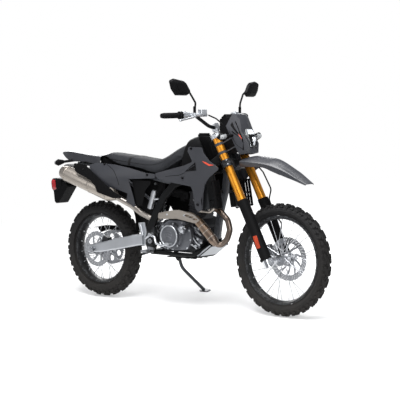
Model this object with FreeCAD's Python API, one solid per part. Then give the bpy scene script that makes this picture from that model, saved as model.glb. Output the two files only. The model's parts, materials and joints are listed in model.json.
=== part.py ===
import FreeCAD, Part
import math
import os
from functools import cache

# A dual sport motorcycle parked on its side stand, in millimetres.
# It is drawn upright, with +X forward, +Y to the rider's left and +Z up, and the ground line
# under the wheels is the X axis. At the end every piece is leaned over onto the side stand.

V = FreeCAD.Vector
X_AXIS = V(1, 0, 0)
Y_AXIS = V(0, 1, 0)
Z_AXIS = V(0, 0, 1)
ORIGIN = V(0, 0, 0)

# Chassis geometry
WHEELBASE = 1490.0
RAKE = 27.5
TRAIL = 109.0
LEAN = 10.0
WORKING_GAP = 0.3
SHEET = 3.0

# Wheels
FRONT_TYRE_R = 346.0
FRONT_CROWN_R = 44.0
FRONT_RIM_R = 270.0
FRONT_RIM_W = 52.0
REAR_TYRE_R = 325.0
REAR_CROWN_R = 62.0
REAR_RIM_R = 232.0
REAR_RIM_W = 72.0
RIM_DEPTH = 20.0
TYRE_WALL = 14.0
LUG_H = 9.0
SIDE_LUG_H = 3.0
FRONT_LUGS = 27
REAR_LUGS = 23
SPOKES = 36
SPOKE_R = 1.9
FRONT_HUB_FLANGE_R = 36.0
REAR_HUB_FLANGE_R = 46.0
FLANGE_T = 5.0
FRONT_FLANGE_Y = 33.0
REAR_FLANGE_Y = 36.0
FRONT_AXLE_R = 10.0
REAR_AXLE_R = 12.0
AXLE_BORE_R = 6.0
FRONT_DISC_R = 135.0
REAR_DISC_R = 120.0
DISC_T = 4.0
FRONT_DISC_Y = 58.0
REAR_DISC_Y = -70.0
SPROCKET_Y = 78.0
CHAIN_HALF_W = 8.0
CHAIN_HALF_H = 7.5
SPROCKET_T = 6.0
CHAIN_PITCH = 15.875
REAR_TEETH = 43
DRIVE_TEETH = 15

# Fork and steering, with s measured up the steering axis from the height of the front axle
FORK_HALF = 105.0
LEG_OFFSET = 23.0
FORK_TUBE_R = 27.0
FORK_INNER_R = 23.0
FORK_TOP_S = 876.0
FORK_TUBE_LOW_S = 356.0
TOP_CLAMP_S = 861.0
TOP_CLAMP_T = 26.0
LOW_CLAMP_S = 676.0
LOW_CLAMP_T = 46.0
CLAMP_WALL = 8.0
STEM_R = 14.0
HEAD_TUBE_R = 27.0
HEAD_GAP = 1.5
LUG_TOP_S = 34.0
LUG_HALF = 18.0
GUARD_R = 37.0
GUARD_LOW_S = 25.0
GUARD_TOP_S = 424.0
SWEEP_GAP = 5.5

# Controls
BAR_R = 11.0
BAR_CLAMP_S = 935.0
BAR_CLAMP_F = 6.0
BAR_CLAMP_Y = 50.0
BAR_HALF = 415.0
BAR_END_X = 145.0
BAR_END_Z = 1223.0
BAR_BEND_X = 202.0
BAR_BEND_Y = 185.0
BAR_BEND_Z = 1228.0
GRIP_R = 16.5
GRIP_LENGTH = 125.0
PERCH_AT = 203.0
PERCH_AHEAD = 48.0
PERCH_BOSS_TOP = 20.0
MIRROR_HALF_SPAN = 360.0
MIRROR_Z = 1396.0
MIRROR_YAW = 7.0
HOSE_R = 4.5
MASK_WALL = 4.0
LAMP_GAP = 0.4

# Engine
CLUTCH_COVER_R = 80.0
CRANK_X = -31.0
CRANK_Z = 458.0
CASE_HALF = 92.0
CLUTCH_FACE = 162.0
CYLINDER_TILT = 8.0

DRIVE_X = -148.0
DRIVE_Z = 428.0
PUMP_X = 67.0
PUMP_Z = 505.0
CASE_LEFT_REAR = 62.0
FRONT_PIPE_R = 19.0
CHAMBER_R = 29.0
REAR_PIPE_R = 20.0
HEADER_START = V(192, -24, 668)
SHIELD_Y = 176.0
MUFFLER_R = 52.0
MUFFLER_Y = 132.0
RADIATOR_INNER = 84.0
RADIATOR_OUTER = 182.0
SPRING_R = 33.0
SPRING_WIRE_R = 6.0
SPRING_TURNS = 8
SHOCK_TOP = V(-196, 0, 786)
SHOCK_FOOT = V(-312, 0, 372)
SHOCK_BOLT_R = 7.0
CHAIN_SIDE_GAP = 1.2
TOOTH_TIP = 4.2
TOOTH_ROOT = 4.6
DISC_GAP = 2.5

CALIPER_FACE_Y = FRONT_DISC_Y + DISC_T / 2 + DISC_GAP + 22.0

# Frame, swingarm and stand
SPAR_INNER = 102.0
SPAR_W = 24.0
CRADLE_R = 13.0
RAIL_R = 10.0
PIVOT_X = -215.0
PIVOT_Z = 415.0
PIVOT_BOLT_R = 11.0
PIVOT_TUNNEL_R = 6.0
ARM_INNER = 90.0
ARM_W = 26.0
AXLE_HEAD_T = 6.0
STAND_PIVOT = V(-190.0, 132.0, 285.0)
STAND_BOLT_R = 6.0
STAND_FOOT_X = -112.0
STAND_FOOT_Y = 300.0
STAND_TUBE_R = 11.0
STAND_EYE_R = 16.0
STAND_EYE_BACK = 5.0
STAND_EYE_FRONT = 7.0
STAND_SOLE_T = 7.0

# Seat: its lower edge in side view, the half width there and the height of the crown
SEAT_LOW = [(62, 962), (-8, 922), (-73, 884), (-143, 860), (-230, 866), (-362, 892), (-514, 912),
            (-600, 942), (-668, 954)]
SEAT_FOOT = [112, 124, 132, 134, 134, 130, 124, 108, 78]
SEAT_TOP = [1070, 1026, 987, 950, 934, 946, 961, 970, 976]
TANK_REAR_LOW = 40.0
TANK_REAR_TOP = 72.0

lean_rad = math.radians(LEAN)
rake_rad = math.radians(RAKE)

# Each axle is carried so high that its leaned tyre just touches the ground.
FRONT_AXLE = V(WHEELBASE / 2, 0, FRONT_TYRE_R - FRONT_CROWN_R + FRONT_CROWN_R / math.cos(lean_rad))
REAR_AXLE = V(-WHEELBASE / 2, 0, REAR_TYRE_R - REAR_CROWN_R + REAR_CROWN_R / math.cos(lean_rad))
AXLE_LEAD = FRONT_AXLE.z * math.sin(rake_rad) - TRAIL * math.cos(rake_rad)
STEER_UP = V(-math.sin(rake_rad), 0, math.cos(rake_rad))
STEER_FORWARD = V(math.cos(rake_rad), 0, math.sin(rake_rad))
STEER_FOOT = FRONT_AXLE - STEER_FORWARD * AXLE_LEAD


# Placing

def at_fork(f, y, s):
    """The point f ahead of the steering axis, y to the left and s up it."""
    return STEER_FOOT + STEER_FORWARD * f + V(0, y, 0) + STEER_UP * s


def to_fork(shape):
    """A shape drawn about an upright steering axis, laid back to the rake."""
    placed = shape.copy()
    placed.rotate(ORIGIN, Y_AXIS, -RAKE)
    placed.translate(STEER_FOOT)
    return placed


def mirrored(shape):
    return shape.mirror(ORIGIN, Y_AXIS)


def both_sides(shape):
    return [shape, mirrored(shape)]


def moved(shape, offset):
    placed = shape.copy()
    placed.translate(offset)
    return placed


def fused(shapes):
    whole = shapes[0].multiFuse(shapes[1:]) if len(shapes) > 1 else shapes[0]
    return whole.removeSplitter()


# Drawing

def rounded_wire(points, radius, closed=True):
    """Straight runs through the points, with a tangent arc at each corner."""
    count = len(points)
    radii = radius if isinstance(radius, list) else [radius] * count
    starts = []
    for i, corner in enumerate(points):
        inner = closed or 0 < i < count - 1
        if not inner or radii[i] <= 0:
            starts.append((corner, None, corner))
            continue
        back = (points[i - 1] - corner)
        ahead = (points[(i + 1) % count] - corner)
        half = math.radians(180 - math.degrees(back.getAngle(ahead))) / 2
        reach = min(radii[i] * math.tan(half), 0.48 * back.Length, 0.48 * ahead.Length)
        if reach < 1e-4:
            starts.append((corner, None, corner))
            continue
        bend = reach / math.tan(half)
        one = V(back).normalize()
        two = V(ahead).normalize()
        inwards = (one + two).normalize()
        middle = corner + inwards * (bend / math.cos(half) - bend)
        starts.append((corner + one * reach, middle, corner + two * reach))
    edges = []
    for i in range(count):
        entry, middle, leave = starts[i]
        if middle is not None:
            edges.append(Part.Arc(entry, middle, leave).toShape())
        if i < count - 1 or closed:
            following = starts[(i + 1) % count][0]
            if leave.distanceToPoint(following) > 1e-6:
                edges.append(Part.LineSegment(leave, following).toShape())
    return Part.Wire(edges)


def prism(outline, y_low, y_high, radius=0.0):
    """An (x, z) outline with rounded corners, made solid from y_low to y_high."""
    points = [V(x, y_low, z) for x, z in outline]
    return Part.Face(rounded_wire(points, radius)).extrude(V(0, y_high - y_low, 0))


def prism_z(outline, z_low, z_high, radius=0.0):
    """An (x, y) outline with rounded corners, made solid from z_low to z_high."""
    points = [V(x, y, z_low) for x, y in outline]
    return Part.Face(rounded_wire(points, radius)).extrude(V(0, 0, z_high - z_low))


def block(low, high):
    return Part.makeBox(high[0] - low[0], high[1] - low[1], high[2] - low[2], V(*low))


def rod(start, end, radius):
    along = end - start
    return Part.makeCylinder(radius, along.Length, start, along)


def pipe_between(start, end, outer, inner):
    return rod(start, end, outer).cut(rod(start, end, inner))


def cone_between(start, end, start_r, end_r):
    along = end - start
    return Part.makeCone(start_r, end_r, along.Length, start, along)


def tube(points, radius, bend):
    """A round bar along a path of straight runs and tangent arcs."""
    path = rounded_wire(points, bend, closed=False)
    ring = Part.Wire(Part.makeCircle(radius, points[0], points[1] - points[0]))
    return path.makePipeShell([ring], True, False)


def section_frame(points, i):
    ahead = points[min(i + 1, len(points) - 1)] - points[max(i - 1, 0)]
    ahead = V(ahead).normalize()
    side = Y_AXIS - ahead * Y_AXIS.dot(ahead)
    side = side.normalize()
    return side, ahead.cross(side)


def beam(stations, round_share=0.45):
    """A bar of rounded rectangular section: stations of (centre, half width across, half height)."""
    points = [s[0] for s in stations]
    wires = []
    for i, (centre, half_w, half_h) in enumerate(stations):
        side, up = section_frame(points, i)
        corners = [centre + side * (a * half_w) + up * (b * half_h)
                   for a, b in ((-1, -1), (1, -1), (1, 1), (-1, 1))]
        wires.append(rounded_wire(corners, round_share * min(half_w, half_h) * 2))
    return Part.makeLoft(wires, True, True)


def turned(profile, centre, axis=Y_AXIS):
    """A closed (radius, y) profile turned once about the wheel axis at the centre."""
    points = [V(centre.x, centre.y + y, centre.z + r) for r, y in profile]
    face = Part.Face(Part.makePolygon(points + [points[0]]))
    return face.revolve(centre, axis, 360)


def arch(x, foot_half, foot_z, shoulder_half, shoulder_z, top_z, crown=0.6):
    """One closed section across the bike: a flat underside and a curved back."""
    left = [(foot_half, foot_z), (shoulder_half, shoulder_z),
            (shoulder_half * crown, top_z - 0.12 * (top_z - shoulder_z))]
    points = left + [(0.0, top_z)] + [(-y, z) for y, z in reversed(left)]
    curve = Part.BSplineCurve()
    curve.interpolate([V(x, y, z) for y, z in points])
    base = Part.LineSegment(V(x, -foot_half, foot_z), V(x, foot_half, foot_z))
    return Part.Wire([curve.toShape(), base.toShape()])


def skin(x_stations, z_stations, half_widths, thickness):
    """A curved sheet on the right side: half_widths[j][i] is its distance from the middle."""
    grid = []
    for i, x in enumerate(x_stations):
        grid.append([V(x, -half_widths[j][i], z) for j, z in enumerate(z_stations)])
    surface = Part.BSplineSurface()
    surface.interpolate(grid)
    return surface.toShape().extrude(V(0, thickness, 0))


def panel(sheet, outline, radius):
    return sheet.common(prism(outline, -600.0, 0.0, radius))


# Wheels

def tyre(axle, outer_r, crown_r, rim_r, rim_w, lugs):
    """A carcass of flat segments, each with two staggered middle lugs and a lug on each shoulder."""
    centre_r = outer_r - crown_r
    carcass_r = crown_r - LUG_H
    bead = rim_w / 2
    half_pitch = 180.0 / lugs
    tangent = math.tan(math.radians(half_pitch))

    def at(radius, degrees):
        angle = math.radians(degrees)
        return (centre_r + radius * math.cos(angle), radius * math.sin(angle))

    crown = [at(carcass_r, a) for a in (-58, -30, 0, 30, 58)]
    wall = [at(crown_r - SIDE_LUG_H, a) for a in (76, 104)]
    profile = [(rim_r + 2, -bead + 2)] + [(r, -y) for r, y in reversed(wall)] + crown + wall
    profile += [(rim_r + 2, bead - 2), (rim_r + 2, bead - TYRE_WALL), (rim_r + 2, -bead + TYRE_WALL)]

    def ends(direction):
        points = [V(axle.x + direction * tangent * r, axle.y + y, axle.z + r) for r, y in profile]
        return Part.makePolygon(points + [points[0]])

    segment = Part.makeLoft([ends(-1), ends(1)], True, True)
    arc = math.pi * outer_r / lugs
    blocks = []
    for lean, spread, centre, share in ((15.0, 11.5, 0.46, 0.42), (-15.0, 11.5, -0.46, 0.42),
                                        (45.0, 12.0, 0.0, 0.62),
                                        (-45.0, 12.0, 0.0, 0.62)):
        start = (centre - share) * arc
        end = (centre + share) * arc
        sink = outer_r - math.sqrt(outer_r ** 2 - max(abs(start), abs(end)) ** 2)
        corners = [at(carcass_r - 3.0, lean - spread), at(crown_r, lean - spread), at(crown_r, lean + spread),
                   at(carcass_r - 3.0, lean + spread)]
        points = [V(axle.x + start, axle.y + y, axle.z + r - sink) for r, y in corners]
        blocks.append(Part.Face(Part.makePolygon(points + [points[0]])).extrude(V(end - start, 0, 0)))
    segment = segment.multiFuse(blocks)

    def on_end(face):
        across = V(math.cos(math.radians(half_pitch)), 0, math.sin(math.radians(half_pitch)))
        mirror_across = V(across.x, 0, -across.z)
        return any(all(abs((v.Point - axle).dot(plane)) < 1e-4 for v in face.Vertexes)
                   for plane in (across, mirror_across))

    open_faces = [face for face in segment.Faces if not on_end(face)]
    faces = []
    for k in range(lugs):
        for face in open_faces:
            copy = face.copy()
            copy.rotate(axle, Y_AXIS, 2 * half_pitch * k)
            faces.append(copy)
    shell = Part.makeShell(faces)
    shell.sewShape()
    carcass = Part.makeSolid(shell)
    return carcass if carcass.Volume > 0 else carcass.reversed()


def rim(axle, rim_r, rim_w):
    half = rim_w / 2
    well = rim_r - RIM_DEPTH
    outside = [(rim_r + 1.5, -half), (rim_r + 1.5, -half + 3), (rim_r - 6, -half + 6),
               (well + 6, -half * 0.45),
               (well + 6, half * 0.45), (rim_r - 6, half - 6), (rim_r + 1.5, half - 3), (rim_r + 1.5, half)]
    inside = [(rim_r - 10, half), (well, half * 0.4), (well, -half * 0.4), (rim_r - 10, -half)]
    return turned(outside + inside, axle)


def hub_body(axle, flange_r, flange_y, core_r, bore_r):
    """A waisted hub barrel between two spoke flanges, bored for its axle."""
    inner = flange_y - FLANGE_T
    half = [(flange_r, flange_y), (flange_r, inner), (core_r + 4, inner - 8), (core_r, 0)]
    outline = [(bore_r, flange_y + 6), (core_r - 2, flange_y + 6), (core_r - 2, flange_y)] + half
    outline += [(r, -y) for r, y in reversed(outline[:-1])]
    return turned(outline, axle)


def laced_spokes(axle, flange_r, flange_y, rim_r, rim_w):
    """Thirty-six spokes, half of them leading and half trailing, laced to alternate flanges."""
    spokes = []
    reach = rim_r - RIM_DEPTH - 2 * WORKING_GAP
    pitch = 360.0 / SPOKES
    for k in range(SPOKES):
        side = 1 if k % 2 else -1
        trailing = 1 if (k // 2) % 2 else -1
        rim_angle = math.radians(k * pitch)
        hub_angle = rim_angle + trailing * math.radians(58.0)
        shift = FLANGE_T / 2 + SPOKE_R + 0.4
        hub_y = side * (flange_y - FLANGE_T / 2 + trailing * shift)
        hub_r = flange_r - 4.0
        start = axle + V(hub_r * math.sin(hub_angle), hub_y, hub_r * math.cos(hub_angle))
        end = axle + V(reach * math.sin(rim_angle), side * rim_w * 0.12, reach * math.cos(rim_angle))
        spokes.append(spoke(start, end))
    return spokes


def spoke(start, end):
    along = end - start
    ring = Part.makePolygon([V(SPOKE_R * math.cos(a), SPOKE_R * math.sin(a), 0)
                             for a in (math.pi / 2 * k for k in range(5))])
    body = Part.Face(ring).extrude(V(0, 0, along.Length))
    body.Placement = FreeCAD.Placement(start, FreeCAD.Rotation(Z_AXIS, along))
    return body


def brake_disc(axle, y_mid, outer_r, band, carrier_r, arms, scallops):
    """A drilled wave disc: braking band, swept arms and carrier ring, with round cut-outs at the edge."""
    low = y_mid - DISC_T / 2
    centre = V(axle.x, low, axle.z)
    ring = Part.makeCylinder(outer_r, DISC_T, centre, Y_AXIS)
    ring = ring.cut(Part.makeCylinder(outer_r - band, DISC_T, centre, Y_AXIS))
    carrier = Part.makeCylinder(carrier_r, DISC_T, centre, Y_AXIS)
    parts = [ring, carrier]
    for k in range(arms):
        angle = 360.0 * k / arms
        sweep = math.radians(24.0)
        inner = carrier_r - 3.0
        outer = outer_r - band + 2.0
        a = V(axle.x, low, axle.z) + V(0, 0, inner)
        b = V(axle.x, low, axle.z) + V(outer * math.sin(sweep), 0, outer * math.cos(sweep))
        along = (b - a).normalize()
        across = along.cross(Y_AXIS) * 5.0
        arm = Part.Face(Part.makePolygon([a - across, b - across, b + across, a + across, a - across]))
        arm = arm.extrude(V(0, DISC_T, 0))
        arm.rotate(axle, Y_AXIS, angle)
        parts.append(arm)
    disc = fused(parts)
    cutters = [Part.makeCylinder(FRONT_AXLE_R + 13, DISC_T, centre, Y_AXIS)]
    for k in range(scallops):
        for radius, hole, phase in ((outer_r + 4, 9.0, 0.0), (outer_r - 0.52 * band, 5.0, 0.5)):
            angle = math.radians(360.0 * (k + phase) / scallops)
            at = centre + V(radius * math.sin(angle), 0, radius * math.cos(angle))
            cutters.append(Part.makeCylinder(hole, DISC_T, at, Y_AXIS))
    return disc.cut(Part.makeCompound(cutters))


def front_wheel():
    hub = hub_body(FRONT_AXLE, FRONT_HUB_FLANGE_R, FRONT_FLANGE_Y, 21.0, FRONT_AXLE_R + WORKING_GAP)
    spokes = laced_spokes(FRONT_AXLE, FRONT_HUB_FLANGE_R, FRONT_FLANGE_Y, FRONT_RIM_R, FRONT_RIM_W)
    seat_low = FRONT_FLANGE_Y + 6.0
    seat_high = FRONT_DISC_Y - DISC_T / 2
    boss = pipe_between(FRONT_AXLE + V(0, seat_low, 0), FRONT_AXLE + V(0, seat_high, 0), 40.0,
                        FRONT_AXLE_R + WORKING_GAP)
    return {
        "front_tyre": [tyre(FRONT_AXLE, FRONT_TYRE_R, FRONT_CROWN_R, FRONT_RIM_R, FRONT_RIM_W, FRONT_LUGS)],
        "front_rim": [rim(FRONT_AXLE, FRONT_RIM_R, FRONT_RIM_W)],
        "front_hub": [fused([hub, boss] + spokes)],
        "front_disc": [brake_disc(FRONT_AXLE, FRONT_DISC_Y, FRONT_DISC_R, 34.0, 44.0, 10, 20)],
    }


def sprocket(axle, y_mid, teeth, bore_r):
    pitch_r = CHAIN_PITCH / (2 * math.sin(math.pi / teeth))
    low = y_mid - SPROCKET_T / 2
    points = []
    for k in range(teeth):
        for share, radius in ((-0.17, pitch_r + TOOTH_TIP), (0.17, pitch_r + TOOTH_TIP),
                              (0.36, pitch_r - TOOTH_ROOT),
                              (0.64, pitch_r - TOOTH_ROOT)):
            angle = 2 * math.pi * (k + share) / teeth
            points.append(V(axle.x + radius * math.sin(angle), low, axle.z + radius * math.cos(angle)))
    blank = Part.Face(Part.makePolygon(points + [points[0]])).extrude(V(0, SPROCKET_T, 0))
    return blank.cut(Part.makeCylinder(bore_r, SPROCKET_T, V(axle.x, low, axle.z), Y_AXIS))


def rear_wheel():
    hub = hub_body(REAR_AXLE, REAR_HUB_FLANGE_R, REAR_FLANGE_Y, 28.0, REAR_AXLE_R + WORKING_GAP)
    spokes = laced_spokes(REAR_AXLE, REAR_HUB_FLANGE_R, REAR_FLANGE_Y, REAR_RIM_R, REAR_RIM_W)
    start = REAR_FLANGE_Y + 6.0
    boss_left = pipe_between(REAR_AXLE + V(0, start, 0), REAR_AXLE + V(0, SPROCKET_Y - SPROCKET_T / 2, 0),
                             50.0, REAR_AXLE_R + WORKING_GAP)
    boss_right = pipe_between(REAR_AXLE - V(0, start, 0), REAR_AXLE + V(0, REAR_DISC_Y + DISC_T / 2, 0),
                              38.0, REAR_AXLE_R + WORKING_GAP)
    toothed = sprocket(REAR_AXLE, SPROCKET_Y, REAR_TEETH, 30.0)
    low = V(REAR_AXLE.x, SPROCKET_Y - SPROCKET_T / 2, REAR_AXLE.z)
    windows = []
    for k in range(6):
        angle = math.radians(60.0 * k)
        at = low + V(74.0 * math.sin(angle), 0, 74.0 * math.cos(angle))
        windows.append(Part.makeCylinder(19.0, SPROCKET_T, at, Y_AXIS))
    toothed = toothed.cut(Part.makeCompound(windows))
    return {
        "rear_tyre": [tyre(REAR_AXLE, REAR_TYRE_R, REAR_CROWN_R, REAR_RIM_R, REAR_RIM_W, REAR_LUGS)],
        "rear_rim": [rim(REAR_AXLE, REAR_RIM_R, REAR_RIM_W)],
        "rear_hub": [fused([hub, boss_left, boss_right] + spokes)],
        "rear_sprocket": [toothed],
        "rear_disc": [brake_disc(REAR_AXLE, REAR_DISC_Y, REAR_DISC_R, 30.0, 40.0, 8, 18)],
    }


# Frame

HEAD_LOW = LOW_CLAMP_S + LOW_CLAMP_T / 2 + HEAD_GAP
HEAD_HIGH = TOP_CLAMP_S - TOP_CLAMP_T / 2 - HEAD_GAP


@cache
def frame():
    """Head tube, twin side spars down to the swingarm pivot, and the cradle under the engine."""
    head = rod(at_fork(0, 0, HEAD_LOW), at_fork(0, 0, HEAD_HIGH), HEAD_TUBE_R)
    mid = SPAR_INNER + SPAR_W / 2
    half = SPAR_W / 2
    spar = beam([
        (at_fork(-12, -16, HEAD_LOW + 58), half, 32),
        (V(245, -66, 914), half, 30),
        (V(120, -98, 848), half, 29),
        (V(-20, -mid, 788), half, 27),
        (V(-108, -mid, 705), half, 26),
        (V(-172, -mid, 600), half, 26),
        (V(-238, -mid, 470), half, 31),
    ])
    plate = prism([(PIVOT_X - 34, 500), (PIVOT_X + 32, 510), (PIVOT_X + 42, 400), (PIVOT_X + 20, 336),
                   (PIVOT_X - 22, 336), (PIVOT_X - 42, 395)], -mid - half, -mid + half, 14.0)
    cradle = tube([V(PIVOT_X, -mid, 341), V(-150, -106, 340), V(120, -100, 340), V(206, -66, 392),
                   V(242, -22, 446)],
                  CRADLE_R, 60.0)
    side = fused([spar, plate, cradle])
    gusset = beam([(at_fork(0, 0, HEAD_LOW + 46), 12, 20), (V(262, 0, 880), 14, 22),
                   (V(196, 0, 862), 84, 12)])
    cross = rod(V(PIVOT_X, -mid, 341), V(PIVOT_X, mid, 341), CRADLE_R)
    body = fused([head, side, mirrored(side), gusset, cross])
    stem_bore = rod(at_fork(0, 0, HEAD_LOW - 30), at_fork(0, 0, HEAD_HIGH + 30), STEM_R + WORKING_GAP)
    pivot_bore = rod(V(PIVOT_X, -200, PIVOT_Z), V(PIVOT_X, 200, PIVOT_Z), PIVOT_BOLT_R + WORKING_GAP)
    return [body.cut(stem_bore).cut(pivot_bore)]


@cache
def down_tube():
    low = V(236, 0, 452)
    tube_body = beam([(at_fork(-30, 0, HEAD_LOW + 62), 15, 18), (at_fork(-72, 0, HEAD_LOW + 14), 17, 18),
                      (at_fork(-84, 0, HEAD_LOW - 44), 18, 20), (V(304, 0, 760), 19, 21),
                      (V(264, 0, 620), 19, 21),
                      (low, 20, 22)], 0.3)
    return [tube_body.cut(frame()[0])]


@cache
def subframe():
    """Two rails and two stays that carry the seat and tail."""
    mid = SPAR_INNER - RAIL_R - 1.0
    rail = tube([V(-58, -mid, 790), V(-330, -mid, 838), V(-560, -84, 878), V(-930, -56, 902)], RAIL_R, 120.0)
    stay = tube([V(-172, -mid, 640), V(-330, -mid, 731), V(-560, -84, 862)], RAIL_R, 80.0)
    pads = [rod(V(x, -SPAR_INNER + WORKING_GAP, z), V(x, -mid, z), RAIL_R)
            for x, z in ((-58, 790), (-172, 640))]
    cross = [rod(V(x, -y, z), V(x, y, z), RAIL_R - 1) for x, y, z in ((-330, mid, 838), (-780, 70, 893))]
    right = fused([rail, stay] + pads)
    return [fused([right, mirrored(right)] + cross)]


@cache
def swingarm():
    """A tapered box arm each side, joined by the pivot sleeve and a bridge ahead of the tyre."""
    mid = ARM_INNER + ARM_W / 2
    half = ARM_W / 2
    slim = (SPAR_INNER - WORKING_GAP - ARM_INNER) / 2
    ear = beam([(V(PIVOT_X + 22, -ARM_INNER - slim, PIVOT_Z), slim, 24),
                (V(PIVOT_X - 60, -ARM_INNER - slim, PIVOT_Z + 1), slim, 34),
                (V(PIVOT_X - 110, -ARM_INNER - slim, PIVOT_Z), slim, 36)])
    arm = beam([
        (V(PIVOT_X - 84, -mid, 415), half - 3, 32),
        (V(PIVOT_X - 125, -mid, 413), half, 37),
        (V(-520, -mid, 376), half, 37),
        (V(-690, -mid, 340), half, 32),
        (V(REAR_AXLE.x - 44, -mid, REAR_AXLE.z), half, 24),
    ], 0.35)
    right = fused([ear, arm])
    tyre_front = REAR_AXLE.x + REAR_TYRE_R
    bridge = block((tyre_front + 14, -ARM_INNER - 4, 392), (tyre_front + 50, ARM_INNER + 4, 440))
    sleeve = rod(V(PIVOT_X, -ARM_INNER - slim, PIVOT_Z), V(PIVOT_X, ARM_INNER + slim, PIVOT_Z), 24.0)
    body = fused([right, mirrored(right), bridge, sleeve])
    slot = prism([(REAR_AXLE.x - 22, REAR_AXLE.z - REAR_AXLE_R),
                  (REAR_AXLE.x + 22, REAR_AXLE.z - REAR_AXLE_R),
                  (REAR_AXLE.x + 22, REAR_AXLE.z + REAR_AXLE_R),
                  (REAR_AXLE.x - 22, REAR_AXLE.z + REAR_AXLE_R)],
                 -200, 200, REAR_AXLE_R * 0.98)
    bolt = rod(V(PIVOT_X, -200, PIVOT_Z), V(PIVOT_X, 200, PIVOT_Z), PIVOT_BOLT_R + WORKING_GAP)
    return [body.cut(slot).cut(bolt)]


def axle_bar(axle, radius, half):
    """A hollow spindle with a round head at each end."""
    bar = rod(axle - V(0, half, 0), axle + V(0, half, 0), radius)
    heads = [rod(axle + V(0, s * half, 0), axle + V(0, s * (half - AXLE_HEAD_T), 0), radius + 7)
             for s in (-1, 1)]
    return fused([bar] + heads)


def bored(bar, axle):
    return bar.cut(rod(axle - V(0, 300, 0), axle + V(0, 300, 0), AXLE_BORE_R))


def spacer(axle, y_low, y_high, radius):
    return rod(axle + V(0, y_low, 0), axle + V(0, y_high, 0), radius)


def rear_axle():
    half = ARM_INNER + ARM_W + WORKING_GAP + AXLE_HEAD_T
    bar = axle_bar(REAR_AXLE, REAR_AXLE_R - WORKING_GAP, half)
    right = spacer(REAR_AXLE, -ARM_INNER + WORKING_GAP, REAR_DISC_Y - DISC_T / 2 - WORKING_GAP,
                   REAR_AXLE_R + 5)
    left = spacer(REAR_AXLE, SPROCKET_Y + SPROCKET_T / 2 + WORKING_GAP, ARM_INNER - WORKING_GAP,
                  REAR_AXLE_R + 5)
    return [bored(fused([bar, right, left]), REAR_AXLE)]


def pivot_bolt():
    half = SPAR_INNER + SPAR_W + WORKING_GAP + 8
    bolt = rod(V(PIVOT_X, -half, PIVOT_Z), V(PIVOT_X, half, PIVOT_Z), PIVOT_BOLT_R)
    heads = [rod(V(PIVOT_X, s * half, PIVOT_Z), V(PIVOT_X, s * (half - 8), PIVOT_Z), 17) for s in (-1, 1)]
    tunnel = rod(V(PIVOT_X, -half, PIVOT_Z), V(PIVOT_X, half, PIVOT_Z), PIVOT_TUNNEL_R)
    return [fused([bolt] + heads).cut(tunnel)]


@cache
def shock():
    """The single damper with its coil spring, and the piggyback reservoir on the right spar."""
    top = SHOCK_TOP
    foot = SHOCK_FOOT
    along = (foot - top).normalize()
    length = (foot - top).Length
    body = rod(top, foot, 12)
    seat_top_end = 98.0
    seat_low_start = 66.0
    seat_t = 14.0
    seat_top = rod(top + along * (seat_top_end - seat_t), top + along * seat_top_end, SPRING_R + 3)
    seat_low = rod(foot - along * seat_low_start, foot - along * (seat_low_start - seat_t), SPRING_R + 3)
    core = rod(top + along * 20, foot - along * 50, 24)
    turn_room = SPRING_WIRE_R * math.sin(math.pi / 3) + WORKING_GAP
    wire_low = seat_top_end + turn_room
    wire_high = length - seat_low_start - turn_room
    helix = Part.makeHelix((wire_high - wire_low) / SPRING_TURNS, wire_high - wire_low, SPRING_R)
    corners = [V(SPRING_R + SPRING_WIRE_R * math.cos(a), 0, SPRING_WIRE_R * math.sin(a))
               for a in (math.pi / 3 * k for k in range(7))]
    coil = Part.Wire(helix).makePipeShell([Part.Wire(Part.makePolygon(corners))], True, True)
    coil.Placement = FreeCAD.Placement(top + along * wire_low, FreeCAD.Rotation(Z_AXIS, along))
    eyes = [rod(p - V(0, 16, 0), p + V(0, 16, 0), 16) for p in (top, foot)]
    bolt_half = V(0, SPAR_INNER - WORKING_GAP, 0)
    bolt = rod(top - bolt_half, top + bolt_half, SHOCK_BOLT_R)
    damper = fused([body, seat_top, seat_low, core, bolt] + eyes)
    bottle_top = V(-184, -122, 735)
    bottle_low = V(-222, -122, 626)
    down = (bottle_low - bottle_top).normalize()
    bottle = [rod(bottle_top, bottle_low, 18), rod(bottle_top - down * 8, bottle_top, 14),
              rod(bottle_top + down * 12, bottle_top + down * 20, 19.5),
              rod(bottle_low - down * 18, bottle_low - down * 10, 19.5)]
    arm = rod(bottle_top + down * 56, V(-150, -118, 690), 6)
    bottle = fused(bottle + [arm]).cut(frame()[0])
    return [damper, coil, bottle]


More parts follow.
